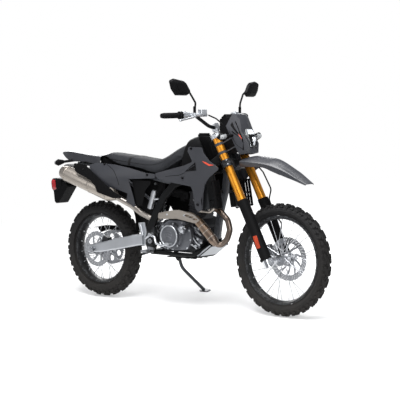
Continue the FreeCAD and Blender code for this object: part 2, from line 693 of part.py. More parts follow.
def chain():
    """The drive chain as one loop over both sprockets, slotted where the teeth run between its plates."""
    rear_r = CHAIN_PITCH / (2 * math.sin(math.pi / REAR_TEETH))
    drive_r = CHAIN_PITCH / (2 * math.sin(math.pi / DRIVE_TEETH))
    span = V(DRIVE_X, 0, DRIVE_Z) - V(REAR_AXLE.x, 0, REAR_AXLE.z)
    along = V(span).normalize()
    up = V(-along.z, 0, along.x)
    lean = (rear_r - drive_r) / span.Length
    rise = math.sqrt(1 - lean * lean)
    loops = []
    for offset in (CHAIN_HALF_H, -CHAIN_HALF_H):
        edges = []
        ends = []
        for centre, pitch_r in ((REAR_AXLE, rear_r), (V(DRIVE_X, 0, DRIVE_Z), drive_r)):
            r = pitch_r + offset
            middle = V(centre.x, SPROCKET_Y - CHAIN_HALF_W, centre.z)
            over = middle + (along * lean + up * rise) * r
            under = middle + (along * lean - up * rise) * r
            outward = -1 if centre is REAR_AXLE else 1
            ends.append((over, middle + along * (outward * r), under))
        (over_r, back, under_r), (over_d, front, under_d) = ends
        edges.append(Part.Arc(under_r, back, over_r).toShape())
        edges.append(Part.LineSegment(over_r, over_d).toShape())
        edges.append(Part.Arc(over_d, front, under_d).toShape())
        edges.append(Part.LineSegment(under_d, under_r).toShape())
        loops.append(Part.Face(Part.Wire(edges)).extrude(V(0, 2 * CHAIN_HALF_W, 0)))
    band = loops[0].cut(loops[1])
    slots = []
    for centre, pitch_r, gap in ((REAR_AXLE, rear_r, CHAIN_SIDE_GAP),
                                 (V(DRIVE_X, 0, DRIVE_Z), drive_r, WORKING_GAP)):
        low = V(centre.x, SPROCKET_Y - SPROCKET_T / 2 - gap, centre.z)
        slots.append(Part.makeCylinder(pitch_r + TOOTH_TIP + gap, SPROCKET_T + 2 * gap, low, Y_AXIS))
    return [band.cut(Part.makeCompound(slots))]


@cache
def chain_guard():
    """The plastic channel over the chain's upper run, on two lugs of the left arm."""
    top = [(-908, 455), (-800, 474), (-662, 476), (-610, 468), (-560, 462)]
    low = [(-560, 446), (-640, 446), (-800, 440), (-866, 420)]
    y_side = ARM_INNER + 6
    side = prism(top + low, y_side, y_side + SHEET, 8.0)
    roof = prism(top + [(x, z - SHEET) for x, z in reversed(top)], SPROCKET_Y - 12, y_side + SHEET)
    lugs = [prism([(x - 10, 392), (x + 10, 392), (x + 8, 456), (x - 8, 456)], y_side - 4, y_side, 3.0)
            for x in (-600, -650)]
    return [fused([side, roof] + lugs).cut(swingarm()[0])]


def drive_sprocket():
    centre = V(DRIVE_X, 0, DRIVE_Z)
    toothed = sprocket(centre, SPROCKET_Y, DRIVE_TEETH, 9.0)
    return [toothed]


# Engine

@cache
def engine_cases():
    """The crankcase halves with the gearbox behind, open on the left where the chain runs."""
    outline = [(-186, 430), (-176, 505), (-118, 556), (20, 580), (150, 582), (196, 536), (200, 450),
               (158, 378),
               (60, 356), (-120, 356), (-178, 384)]
    case = prism(outline, -CASE_HALF, CASE_HALF, 26.0)
    well = prism([(-240, 350), (-240, 490), (-128, 490), (-90, 455), (-90, 400), (-128, 350)],
                 CASE_LEFT_REAR, CASE_HALF + 20, 20.0)
    seam = []
    for x, z in ((-150, 528), (0, 566), (120, 570), (190, 470), (120, 372), (-20, 362)):
        seam.append(rod(V(x, -CASE_HALF, z), V(x, CASE_HALF, z), 11.0))
    case = fused([case] + seam).cut(well)
    shaft = rod(V(DRIVE_X, CASE_LEFT_REAR, DRIVE_Z), V(DRIVE_X, SPROCKET_Y + 12, DRIVE_Z), 9.0 - WORKING_GAP)
    arms = [prism([(PIVOT_X + 32, 392), (PIVOT_X + 32, 432), (-160, 450), (-160, 380)], -60, 60, 6.0),
            prism([(186, 452), (246, 470), (246, 500), (186, 520)], -14, 14, 5.0)]
    body = fused([case, shaft] + arms).cut(down_tube()[0])
    return [body.cut(rod(V(PIVOT_X, -200, PIVOT_Z), V(PIVOT_X, 200, PIVOT_Z), 25.0))]


def clutch_cover():
    """The right-hand engine cover: a stepped shell, the round clutch cap and the water pump."""
    base = prism([(-132, 440), (-120, 520), (-60, 556), (60, 556), (118, 520), (130, 440), (96, 376),
                  (-20, 366),
                  (-104, 382)], -CASE_HALF - 34, -CASE_HALF, 30.0)
    cap_low = V(CRANK_X, -CASE_HALF - 34, CRANK_Z)
    cone = Part.makeCone(CLUTCH_COVER_R + 6, CLUTCH_COVER_R, 18, cap_low, V(0, -1, 0))
    cap = Part.makeCylinder(CLUTCH_COVER_R - 8, CLUTCH_FACE - CASE_HALF - 34, cap_low, V(0, -1, 0))
    recess = Part.makeCylinder(CLUTCH_COVER_R - 26, 5, V(CRANK_X, -CLUTCH_FACE, CRANK_Z), V(0, 1, 0))
    pump = Part.makeCylinder(30, 26, V(PUMP_X, -CASE_HALF - 34, PUMP_Z), V(0, -1, 0))
    spout = rod(V(PUMP_X + 10, -CASE_HALF - 48, PUMP_Z + 10), V(PUMP_X + 52, -CASE_HALF - 40, PUMP_Z + 44),
                9.0)
    ears = []
    for k in range(6):
        angle = math.radians(60 * k + 15)
        at = V(CRANK_X + (CLUTCH_COVER_R + 2) * math.sin(angle), -CASE_HALF - 30,
               CRANK_Z + (CLUTCH_COVER_R + 2) * math.cos(angle))
        ears.append(Part.makeCylinder(8, 22, at, V(0, -1, 0)))
    return [fused([base, cone, cap, pump, spout] + ears).cut(recess)]


def generator_cover():
    """The left-hand cover over the generator, and the guard over the drive sprocket."""
    low = CASE_HALF
    base = prism([(-78, 440), (-66, 520), (0, 556), (90, 552), (138, 500), (136, 420), (86, 372), (-30, 372)],
                 low, low + 26, 28.0)
    dome = Part.makeCone(70, 60, 22, V(38, low + 26, 464), Y_AXIS)
    plug = Part.makeCylinder(16, 5, V(38, low + 48, 464), Y_AXIS)
    guard_low = SPROCKET_Y + CHAIN_HALF_W + 6
    guard = prism([(-92, 396), (-92, 462), (-120, 484), (-172, 484), (-176, 470), (-176, 392), (-160, 378),
                   (-112, 378)], guard_low, guard_low + 6, 9.0)
    arm = block((-104, guard_low, 410), (-56, guard_low + 6, 450))
    return [fused([base, dome, plug, guard, arm]).cut(engine_cases()[0])]


@cache
def cylinder_head():
    """Barrel, head and cam cover stacked on the cases, with the fins' and covers' steps."""
    foot = V(104, 0, 579)
    up = V(math.sin(math.radians(CYLINDER_TILT)), 0, math.cos(math.radians(CYLINDER_TILT)))
    fore = V(up.z, 0, -up.x)

    def level(low, high, fore_half, side_half, radius):
        corners = [foot + up * low + fore * (a * fore_half) + V(0, b * side_half, 0)
                   for a, b in ((-1, -1), (1, -1), (1, 1), (-1, 1))]
        return Part.Face(rounded_wire(corners, radius)).extrude(up * (high - low))

    steps = [level(-6, 70, 58, 62, 18), level(66, 76, 66, 70, 20), level(76, 150, 62, 66, 14),
             level(150, 158, 68, 72, 14), level(158, 196, 60, 64, 22)]
    for k in range(4):
        steps.append(level(10 + 14 * k, 15 + 14 * k, 62, 67, 18))
    port = foot + up * 112
    steps.append(rod(port + fore * 40, HEADER_START, FRONT_PIPE_R + 5))
    inlet = foot + up * 118
    steps.append(rod(inlet - fore * 40, inlet - fore * 92 + up * 4, 24))
    return [fused(steps).cut(engine_cases()[0])]


@cache
def intake():
    """Throttle body and the air box behind it, under the seat."""
    throat = tube([V(28, 0, 710), V(-60, 0, 722), V(-128, 0, 726)], 27.0, 60.0)
    body = rod(V(10, -38, 712), V(10, 38, 712), 22.0)
    bowl = block((-42, -34, 676), (-2, 34, 716))
    return [fused([throat, body, bowl]).cut(cylinder_head()[0])]


def shock_room():
    """The space the damper needs through the air box."""
    coil = rod(SHOCK_TOP, SHOCK_FOOT, SPRING_R + SPRING_WIRE_R + 3)
    eye = rod(SHOCK_TOP - V(0, 18, 0), SHOCK_TOP + V(0, 18, 0), 18)
    bolt = rod(SHOCK_TOP - V(0, 100, 0), SHOCK_TOP + V(0, 100, 0), SHOCK_BOLT_R + 1)
    return fused([coil, eye, bolt])


def air_box():
    half = SPAR_INNER - 2 * RAIL_R - 6.0
    outline = [(-132, 690), (-132, 812), SEAT_LOW[3]]
    outline += [(x, z) for x, z in SEAT_LOW[4:6]] + [(-520, 870), (-470, 800), (-350, 700)]
    box = prism(outline, -half, half, 6.0)
    under_seat = moved(seat()[0], V(0, 0, -WORKING_GAP))
    return [box.cut(under_seat).cut(intake()[0]).cut(shock_room()).cut(subframe()[0])]


# Exhaust

@cache
def exhaust_header():
    """From the port round the engine's front, through a fat chamber on the right, to the silencer."""
    chamber_low = V(302, -118, 446)
    chamber_high = V(206, -144, 560)
    up = (chamber_high - chamber_low).normalize()
    front = tube([HEADER_START, V(234, -46, 652), V(304, -48, 622), V(360, -49, 572), V(378, -50, 512),
                  V(364, -62, 452),
                  V(330, -92, 412), chamber_low], FRONT_PIPE_R, 52.0)
    chamber = [rod(chamber_low, chamber_high, CHAMBER_R),
               cone_between(chamber_low - up * 34, chamber_low, FRONT_PIPE_R, CHAMBER_R),
               cone_between(chamber_high, chamber_high + up * 36, CHAMBER_R, REAR_PIPE_R)]
    weld = rod(chamber_low + up * 6, chamber_low + up * 10, CHAMBER_R + 1.5)
    back = tube([chamber_high, V(150, -150, 598), V(70, -147, 602), V(-40, -138, 598), V(-140, -74, 586),
                 V(-232, -72, 548),
                 V(-330, -78, 586), V(-410, -100, 640), V(-500, -MUFFLER_Y, 688)], REAR_PIPE_R, 60.0)
    return [fused([front, back, weld] + chamber).cut(cylinder_head()[0])]


def exhaust_shield():
    """The slotted guard over the hot run of the header, with its edges turned in."""
    outline = [(-106, 569), (-100, 605), (18, 627), (66, 631), (187, 608), (236, 577), (206, 552),
               (113, 566), (50, 575),
               (-39, 569)]
    plate = prism(outline, -SHIELD_Y - SHEET, -SHIELD_Y, 9.0)
    rim_wall = prism(outline, -SHIELD_Y, -SHIELD_Y + 9, 9.0)
    inner = prism([(-101, 574), (-96, 601), (18, 622), (66, 626), (185, 603), (227, 577), (205, 557),
                   (113, 571), (50, 580),
                   (-39, 574)], -SHIELD_Y, -SHIELD_Y + 9, 7.0)
    slots = [prism([(x, z), (x + 34, z - 2), (x + 22, z - 12), (x - 12, z - 9)], -SHIELD_Y - 10,
                   -SHIELD_Y + 10, 4.0)
             for x, z in ((124, 604), (158, 596), (190, 584))]
    posts = [rod(V(x, -SHIELD_Y, 598), V(x, -140, 598), 7.0) for x in (-30, 112)]
    whole = fused([plate.cut(Part.makeCompound(slots)), rim_wall.cut(inner)] + posts)
    return [whole.cut(exhaust_header()[0]), radiator_bar()]


def radiator_bar():
    """The small round bar that shields the bottom of the right radiator, with the lug that holds it."""
    bar = tube([V(204, -150, 628), V(300, -152, 626), V(332, -150, 652)], 7.0, 24.0)
    lug = rod(V(292, -150, 628), V(292, -150, 646), 5.0)
    return fused([bar, lug]).cut(radiators()[0])


def muffler_line(share):
    """A point on the silencer's axis: 0 at its front, 1 at its rear."""
    front = V(-500, -MUFFLER_Y, 688)
    rear = V(-1003, -MUFFLER_Y, 845)
    return front + (rear - front) * share


def muffler():
    front_cone = Part.makeCone(REAR_PIPE_R + 1, MUFFLER_R, 70, muffler_line(0.0),
                               muffler_line(1) - muffler_line(0))
    along = (muffler_line(1) - muffler_line(0)).normalize()
    can = rod(muffler_line(0) + along * 70, muffler_line(1) - along * 46, MUFFLER_R)
    cap = Part.makeCone(MUFFLER_R + 1.5, MUFFLER_R - 12, 46, muffler_line(1) - along * 46, along)
    bore = rod(muffler_line(1) - along * 80, muffler_line(1) + along * 10, 17)
    hanger = block((-745, -MUFFLER_Y + 20, 770), (-725, -84, 895))
    body = fused([front_cone, can, cap, hanger]).cut(bore)
    return [body.cut(exhaust_header()[0]).cut(subframe()[0])]


def muffler_guard():
    """The black cover that hides the front of the silencer and the gap above it."""
    x_stations = [-900, -750, -600, -450, -330]
    z_stations = [640, 720, 800, 930]
    half_widths = [[176, 180, 186, 182, 168], [190, 191, 192, 184, 166], [195, 195, 186, 174, 162],
                   [170, 168, 163, 156, 150]]
    sheet = skin(x_stations, z_stations, half_widths, SHEET)
    outline = [(-862, 908), (-826, 850), (-696, 800), (-651, 764), (-626, 718), (-486, 684), (-420, 688),
               (-366, 668),
               (-470, 722), (-561, 776), (-690, 862), (-752, 900)]
    along = (muffler_line(1) - muffler_line(0)).normalize()
    room = rod(muffler_line(0) - along * 90, muffler_line(1), MUFFLER_R + 0.5)
    outside = skin(x_stations, z_stations, half_widths, -200.0)
    posts = []
    for x, y, z in ((-560, -174, 735), (-638, -158, 766)):
        posts.append(rod(V(x, y, z), V(x, y - 90, z), 7.0).cut(outside))
    cover = fused([panel(sheet, outline, 10.0)] + posts)
    return [cover.cut(room)]


# Cooling

@cache
def radiators():
    """A core with side tanks on each side of the down tube, and their shared lower bracket."""
    cores = []
    for low_y, high_y, grow in ((RADIATOR_INNER + 14, RADIATOR_OUTER - 14, 0.0),
                                (RADIATOR_INNER, RADIATOR_INNER + 14, 5.0),
                                (RADIATOR_OUTER - 14, RADIATOR_OUTER, 5.0)):
        core = prism([(286 - grow, 642), (316 + grow, 650), (274 + grow, 884), (244 - grow, 876)], -high_y,
                     -low_y, 6.0)
        cores.append(core)
    arm = prism([(262, 730), (302, 738), (298, 758), (258, 750)], -RADIATOR_INNER - 1, -12, 4.0)
    right = fused(cores + [arm])
    return [piece.cut(down_tube()[0]) for piece in both_sides(right)]


def radiator_louvres():
    """Upright slats in a frame ahead of each radiator, turned out towards their outer edges."""
    face = [(RADIATOR_INNER + 4, 0.0), (RADIATOR_OUTER, 34.0)]
    slope = V(-42, 0, 234).normalize()
    foot = V(334, 0, 652)
    bars = []
    for share, width in ((0.0, 5.0), (0.2, 3.0), (0.4, 3.0), (0.6, 3.0), (0.8, 3.0), (1.0, 5.0)):
        y = -(face[0][0] + share * (face[1][0] - face[0][0]))
        shift = share * face[1][1]
        corner = foot + V(shift, y, 0)
        bar = block((0, -width, 0), (16, width * 0.2, 174))
        bar.rotate(ORIGIN, Y_AXIS, -math.degrees(math.atan2(42, 234)))
        bar.translate(corner)
        bars.append(bar)
    for height in (0.0, 84.0, 164.0):
        low = foot + slope * height
        run = Part.makePolygon([low + V(0, -face[0][0], 0), low + V(face[1][1], -face[1][0], 0),
                                low + V(face[1][1] + 12, -face[1][0], 0), low + V(12, -face[0][0], 0),
                                low + V(0, -face[0][0], 0)])
        bars.append(Part.Face(run).extrude(slope * 10))
    tabs = [rod(V(306, -RADIATOR_OUTER + 22, 700), V(372, -RADIATOR_OUTER + 22, 712), 5.0)]
    right = fused(bars + tabs)
    return both_sides(right.cut(radiators()[0]))


# Bodywork

def ridged(x, foot_half, foot_z, shoulder_half, shoulder_z, top_z):
    """One closed section across the bike with a sharp edge along each shoulder and a nearly flat back."""
    rise = top_z - shoulder_z
    left = [(foot_half, foot_z), (shoulder_half, shoulder_z), (0.6 * shoulder_half, top_z - 0.3 * rise),
            (0.22 * shoulder_half, top_z)]
    outline = [V(x, y, z) for y, z in left] + [V(x, -y, z) for y, z in reversed(left)]
    return Part.makePolygon(outline + [outline[0]])


def hood(stations, wall):
    """A lofted cover open below: each station is (x, foot half, foot z, shoulder half, shoulder z, top z)."""
    outer = Part.makeLoft([ridged(*s) for s in stations], True, False)
    inner_stations = []
    for i, (x, foot, foot_z, shoulder, shoulder_z, top) in enumerate(stations):
        end = {0: 5.0, len(stations) - 1: -5.0}.get(i, 0.0)
        inner_stations.append((x + end, foot - wall, foot_z - 25, shoulder - wall, shoulder_z - wall,
                               top - wall))
    inner = Part.makeLoft([ridged(*s) for s in inner_stations], True, False)
    return outer.cut(inner)


def shroud():
    x_stations = [-220, -20, 140, 290, 460]
    z_stations = [600, 760, 900, 1060]
    half_widths = [[150, 166, 186, 201, 226], [152, 165, 184, 205, 224], [144, 152, 168, 192, 218],
                   [126, 127, 134, 148, 178]]
    sheet = skin(x_stations, z_stations, half_widths, SHEET)
    outline = [(118, 1029), (235, 1026), (257, 993), (324, 945), (420, 902), (333, 842), (300, 802),
               (288, 724),
               (282, 647), (243, 625), (217, 649), (192, 754), (173, 783), (-50, 806), (-133, 823),
               (-160, 854),
               (97, 912), (170, 936), (114, 1001)]
    window = prism([(201, 918), (118, 878), (200, 883)], -400, 0, 5.0)
    body = panel(sheet, outline, 9.0).cut(window)
    mounts = []
    for x, z, y_in in ((268, 700, RADIATOR_OUTER), (262, 850, RADIATOR_OUTER)):
        post = rod(V(x, -y_in, z), V(x, -y_in - 60, z), 8.0)
        outside = skin(x_stations, z_stations, half_widths, -200.0)
        mounts.append(post.cut(outside))
    return fused([body] + mounts)


def steering_room():
    """What the clamps and fork tubes sweep from lock to lock, less the corner behind the head tube."""
    reach = math.hypot(FORK_HALF, LEG_OFFSET) + FORK_TUBE_R + CLAMP_WALL + SWEEP_GAP
    low = LOW_CLAMP_S - LOW_CLAMP_T / 2 - SWEEP_GAP
    swept = Part.makeCylinder(reach, 300, V(0, 0, low))
    quiet = Part.makeBox(reach, 92, 300, V(-reach - 76, -46, low))
    return to_fork(swept.cut(quiet))


def fuel_tank():
    """The narrow top of the tank between the shrouds, with its filler cap."""
    stations = [(-10, 112, 880, 108, 935, 1030), (60, 118, 880, 116, 960, 1078),
                (120, 120, 880, 117, 980, 1096),
                (180, 118, 880, 114, 985, 1096), (270, 104, 880, 98, 980, 1080)]
    whole = Part.makeLoft([arch(*s) for s in stations], True, False)
    side = [(TANK_REAR_LOW, 905), (TANK_REAR_TOP, 1110), (186, 1110), (232, 1000), (252, 955), (150, 905)]
    tank = whole.common(prism(side, -200, 200, 12.0))
    spars = prism([(-40, 700), (-40, 828), (60, 868), (120, 888), (246, 960), (300, 990), (300, 700)], -200,
                  200)
    tank = tank.cut(spars).cut(steering_room())
    cap_at = V(132, 0, 1088)
    cap = fused([rod(cap_at, cap_at + V(0, 0, 26), 34), rod(cap_at, cap_at + V(0, 0, 18), 40)])
    return [fused([tank, cap])]


@cache
def seat():
    stations = [(x, foot, z, foot - 4, z + 0.35 * (top - z), top) for (x, z), foot,
                top in zip(SEAT_LOW, SEAT_FOOT, SEAT_TOP)]
    body = Part.makeLoft([arch(*s) for s in stations], True, False)
    front = prism([(TANK_REAR_LOW - 0.5 - 20, 860), (TANK_REAR_LOW - 0.5, 905), (TANK_REAR_TOP - 0.5, 1110),
                   (-800, 1110),
                   (-800, 820)], -300, 300)
    return [body.common(front)]


def side_panel():
    x_stations = [-780, -620, -460, -300, -90]
    z_stations = [600, 720, 830, 920]
    half_widths = [[152, 152, 144, 139, 139], [166, 166, 152, 143, 143], [168, 170, 164, 151, 148],
                   [137, 138, 137, 137, 141]]
    sheet = skin(x_stations, z_stations, half_widths, SHEET)
    outline = [(-742, 899), (-673, 912), (-512, 904), (-379, 885), (-240, 856), (-168, 851), (-150, 824),
               (-381, 812),
               (-340, 659), (-335, 621), (-379, 650), (-500, 690), (-597, 745), (-673, 800)]
    outside = skin(x_stations, z_stations, half_widths, -200.0)
    posts = [rod(V(x, -y, z), V(x, -200, z), 7.0).cut(outside) for x, y,
             z in ((-400, 99.3, 848), (-600, 92.0, 880))]
    return fused([panel(sheet, outline, 10.0)] + posts)


def side_panels():
    """The pair under the seat, the right one cut clear of the silencer."""
    along = (muffler_line(1) - muffler_line(0)).normalize()
    room = rod(muffler_line(0) - along * 90, muffler_line(1), MUFFLER_R + SHEET + 6)
    left = mirrored(side_panel())
    return [side_panel().cut(room), left]


def side_insert():
    x_stations = [-420, -300, -180, -60]
    z_stations = [600, 700, 830]
    half_widths = [[130, 130, 132, 134], [132, 132, 134, 136], [140, 140, 140, 142]]
    sheet = skin(x_stations, z_stations, half_widths, SHEET)
    outline = [(-366, 806), (-188, 803), (-252, 742), (-282, 640), (-330, 640)]
    outside = skin(x_stations, z_stations, half_widths, -200.0)
    stay_face = SPAR_INNER - 1.0 + WORKING_GAP
    posts = [rod(V(x, -stay_face, z), V(x, -200, z), 6.0).cut(outside) for x,
             z in ((-300, 713.7), (-330, 731))]
    return fused([panel(sheet, outline, 10.0)] + posts)


@cache
def tail():
    """The rear mudguard behind the seat."""
    stations = [(-676, 110, 906, 108, 951, 966), (-780, 106, 912, 102, 961, 975),
                (-880, 98, 915, 94, 971, 983),
                (-985, 86, 920, 84, 981, 989), (-1050, 66, 944, 64, 979, 985), (-1090, 48, 966, 46, 974, 980)]
    cover = hood(stations, SHEET)
    posts = []
    for x, y, z in ((-760, 68.9, 891), (-880, 59.8, 898.8)):
        for side in (-1, 1):
            posts.append(rod(V(x, side * y, z), V(x, side * y, 990), 7.0))
    whole = Part.makeLoft([ridged(*s) for s in stations], True, False)
    below = block((-1000, -100, 800), (-700, 100, 924))
    posts = [p.common(whole.fuse(below)) for p in posts]
    return [fused([cover] + posts).cut(subframe()[0])]


@cache
def plate_holder():
    """The arm under the tail, and the leaf-shaped carrier behind it whose back holds the number plate."""
    arm = beam([(V(-905, 0, 914), 54, 8), (V(-975, 0, 872), 46, 10), (V(-1030, 0, 800), 40, 14),
                (V(-1096, 0, 752), 40, 20)], 0.3)
    leaf = prism([(-1162, 767), (-1080, 764), (-1046, 738), (-1069, 708), (-1134, 622), (-1160, 616),
                  (-1176, 630),
                  (-1186, 704)], -46, 46, 10.0)
    hollow = prism([(-1196, 700), (-1090, 712), (-1134, 634), (-1152, 626), (-1196, 640)], -41, 41, 6.0)
    whole = fused([arm, leaf]).cut(hollow)
    return [whole.cut(subframe()[0]).cut(tail()[0])]


def tail_lamp():
    body = beam([(V(-1108, 0, 758), 50, 30), (V(-1150, 0, 748), 58, 44), (V(-1192, 0, 744), 56, 47),
                 (V(-1204, 0, 742), 48, 38)], 0.3)
    return [body.cut(plate_holder()[0])]


def signal(root, tip, size):
    """A turn signal: a short rubber stalk and a pointed lamp body."""
    along = V(tip - root).normalize()
    stalk = rod(root, tip - along * size, 9.0)
    body = beam([(tip - along * size, 14, 12), (tip - along * (size * 0.4), 26, 22), (tip, 12, 10)])
    return fused([stalk, body])


def rear_signals():
    right = signal(V(-950, -70, 922), V(-1008, -205, 906), 62)
    return both_sides(right.cut(tail()[0]))


# Controls on the body

def skid_plate():
    """The formed plate under and in front of the cases, between the cradle tubes."""
    half = 84.0
    plate = prism([(262, 408), (146, 326), (120, 319), (-110, 316), (-110, 320), (118, 323), (143, 330),
                   (259, 412)],
                  -half, half)
    ribs = [block((-100, y - 6, 312), (110, y + 6, 317)) for y in (-56, 0, 56)]
    flange = prism([(262, 408), (146, 326), (120, 319), (100, 319), (100, 331), (140, 338), (250, 416)],
                   -half - 3, -half, 4.0)
    hooks = [block((x, s * 92 - 12, 316), (x + 26, s * 92 + 12, 320)) for x in (-90, 60) for s in (-1, 1)]
    return [fused([plate] + ribs + both_sides(flange) + hooks).cut(frame()[0])]


def foot_pegs():
    """A toothed steel platform each side on a bracket below the pivot."""
    y_in = -(SPAR_INNER + SPAR_W / 2 + CRADLE_R) - WORKING_GAP
    bracket = prism([(PIVOT_X - 22, 340), (PIVOT_X + 30, 340), (PIVOT_X + 40, 372), (PIVOT_X - 10, 380)],
                    y_in - 14, y_in, 8.0)
    rail_a = block((PIVOT_X - 6, y_in - 88, 346), (PIVOT_X + 2, y_in - 12, 362))
    rail_b = block((PIVOT_X + 34, y_in - 88, 346), (PIVOT_X + 42, y_in - 12, 362))
    bars = [block((PIVOT_X - 6, y_in - y - 5, 346), (PIVOT_X + 42, y_in - y, 362)) for y in (14, 38, 62, 83)]
    right = fused([bracket, rail_a, rail_b] + bars)
    return both_sides(right)


def brake_pedal():
    y = -(SPAR_INNER + SPAR_W) - 24
    arm = tube([V(-238, y, 430), V(-200, y, 456), V(-157, y - 4, 446), V(-128, y - 24, 406),
                V(-80, y - 26, 394),
                V(-20, y - 30, 412)], 7.0, 30.0)
    pad = block((-34, y - 54, 406), (8, y - 22, 418))
    boss = rod(V(-200, y - 8, 457), V(-200, -(SPAR_INNER + SPAR_W) - WORKING_GAP, 457), 12.0)
    return [fused([arm, pad, boss])]


def heel_guard():
    """The plate behind the brake pedal with the rear brake's cylinder behind it."""
    y = -(SPAR_INNER + SPAR_W) - WORKING_GAP
    plate = prism([(-318, 528), (-262, 534), (-244, 470), (-252, 446), (-292, 448)], y - 5, y, 8.0)
    cylinder = rod(V(-272, y - 14, 452), V(-290, y - 14, 520), 10.0)
    return [fused([plate, cylinder])]


def shift_lever():
    y = CASE_HALF + 26 + 24
    arm = tube([V(-40, y, 410), V(0, y + 2, 386), V(70, y + 8, 374)], 6.0, 30.0)
    rubber = rod(V(70, y + 2, 372), V(70, y + 42, 372), 10.0)
    shaft = rod(V(-40, CASE_HALF + 26 + WORKING_GAP, 410), V(-40, y + 8, 410), 9.0)
    return [fused([arm, rubber, shaft])]


def rear_caliper():
    low = REAR_DISC_Y - DISC_T / 2 - DISC_GAP
    high = REAR_DISC_Y + DISC_T / 2 + DISC_GAP
    at = V(REAR_AXLE.x + 92, 0, REAR_AXLE.z + 62)
    shell = prism([(at.x - 34, at.z - 10), (at.x + 12, at.z - 26), (at.x + 32, at.z + 18),
                   (at.x - 14, at.z + 34)],
                  -ARM_INNER + WORKING_GAP, high + 12, 9.0)
    slot = Part.makeCylinder(REAR_DISC_R + 4, high - low, V(REAR_AXLE.x, low, REAR_AXLE.z), Y_AXIS)
    return [shell.cut(slot)]


# Side stand

def stand_axis():
    return V(-0.17, 1.0, 0.24).normalize()


@cache
def stand_bracket():
    """The lug welded under the left cradle rail, with the stand's bolt."""
    n = stand_axis()
    centre = STAND_PIVOT
    ear = rod(centre - n * 13, centre - n * (STAND_EYE_BACK + WORKING_GAP), STAND_EYE_R + 2)
    rib = beam([(centre - n * 13, 4, 16), (V(-200, 112, 312), 6, 17), (V(-200, 112, 338), 8, 17)])
    bolt = rod(centre - n * 13, centre + n * (STAND_EYE_FRONT + 6), STAND_BOLT_R)
    head = rod(centre + n * (STAND_EYE_FRONT + WORKING_GAP), centre + n * (STAND_EYE_FRONT + 6),
               STAND_BOLT_R + 7)
    return [fused([ear, rib, bolt, head]).cut(frame()[0])]


def side_stand():
    """A bent leg from its eye to a flat sole that lies on the ground when the stand is out."""
    n = stand_axis()
    centre = STAND_PIVOT
    eye = rod(centre - n * STAND_EYE_BACK, centre + n * STAND_EYE_FRONT, STAND_EYE_R)
    foot = V(STAND_FOOT_X, STAND_FOOT_Y, STAND_FOOT_Y * math.tan(lean_rad))
    ground = V(0, -math.sin(lean_rad), math.cos(lean_rad))
    across = V(0, math.cos(lean_rad), math.sin(lean_rad))
    leg = tube([centre + n * 3 + V(2, 0, -8), centre + V(14, 12, -66), foot + ground * STAND_SOLE_T],
               STAND_TUBE_R, 120.0)
    relief_back = rod(centre - n * 40, centre - n * STAND_EYE_BACK, STAND_EYE_R + 6)
    relief_front = rod(centre + n * STAND_EYE_FRONT, centre + n * 40, STAND_BOLT_R + 9)
    corners = [foot + V(a * 36 + 8, 0, 0) + across * (b * 24) for a,
               b in ((-1, -1), (1, -1), (1, 1), (-1, 1))]
    sole = Part.Face(rounded_wire(corners, 14)).extrude(ground * STAND_SOLE_T)
    body = fused([eye, leg.cut(relief_back).cut(relief_front), sole])
    return [body.cut(rod(centre - n * 30, centre + n * 30, STAND_BOLT_R + WORKING_GAP))]


# Fork and steering

def clamp(s_mid, thick, stem_hole):
    """One triple clamp, drawn about an upright axis and then raked."""
    low = s_mid - thick / 2
    outer = FORK_TUBE_R + CLAMP_WALL
    web = prism_z([(-26, -26), (LEG_OFFSET - 28, -FORK_HALF), (LEG_OFFSET + 20, -FORK_HALF), (26, -30),
                   (26, 30),
                   (LEG_OFFSET + 20, FORK_HALF), (LEG_OFFSET - 28, FORK_HALF), (-26, 26)], low, low + thick,
                  10.0)
    rings = [Part.makeCylinder(outer, thick, V(LEG_OFFSET, side * FORK_HALF, low)) for side in (-1, 1)]
    holes = [Part.makeCylinder(FORK_TUBE_R + WORKING_GAP, thick, V(LEG_OFFSET, side * FORK_HALF, low))
             for side in (-1, 1)]
    if stem_hole:
        holes.append(Part.makeCylinder(STEM_R + WORKING_GAP, thick, V(0, 0, low)))
    return fused([web] + rings).cut(Part.makeCompound(holes))


@cache
def top_clamp():
    plate = clamp(TOP_CLAMP_S, TOP_CLAMP_T, True)
    top = TOP_CLAMP_S + TOP_CLAMP_T / 2
    risers = []
    for side in (-1, 1):
        riser = Part.makeCylinder(15, BAR_CLAMP_S - top, V(BAR_CLAMP_F, side * BAR_CLAMP_Y, top))
        block_low = Part.makeBox(44, 30, 44, V(BAR_CLAMP_F - 22, side * BAR_CLAMP_Y - 15, BAR_CLAMP_S - 22))
        risers += [riser, block_low]
    whole = fused([plate] + risers)
    bar = Part.makeCylinder(BAR_R + WORKING_GAP, 400, V(BAR_CLAMP_F, -200, BAR_CLAMP_S), Y_AXIS)
    return [to_fork(whole.cut(bar))]


def low_clamp():
    plate = clamp(LOW_CLAMP_S, LOW_CLAMP_T, False)
    stem_top = TOP_CLAMP_S + TOP_CLAMP_T / 2 + 10
    stem = Part.makeCylinder(STEM_R, stem_top - LOW_CLAMP_S, V(0, 0, LOW_CLAMP_S))
    nut_low = TOP_CLAMP_S + TOP_CLAMP_T / 2 + WORKING_GAP
    nut = Part.makeCylinder(STEM_R + 8, 10, V(0, 0, nut_low))
    stop = Part.makeBox(22, 30, 14, V(-46, -15, LOW_CLAMP_S - 8))
    bore = Part.makeCylinder(STEM_R - 4, 400, V(0, 0, LOW_CLAMP_S - 60))
    return [to_fork(fused([plate, stem, nut, stop]).cut(bore))]


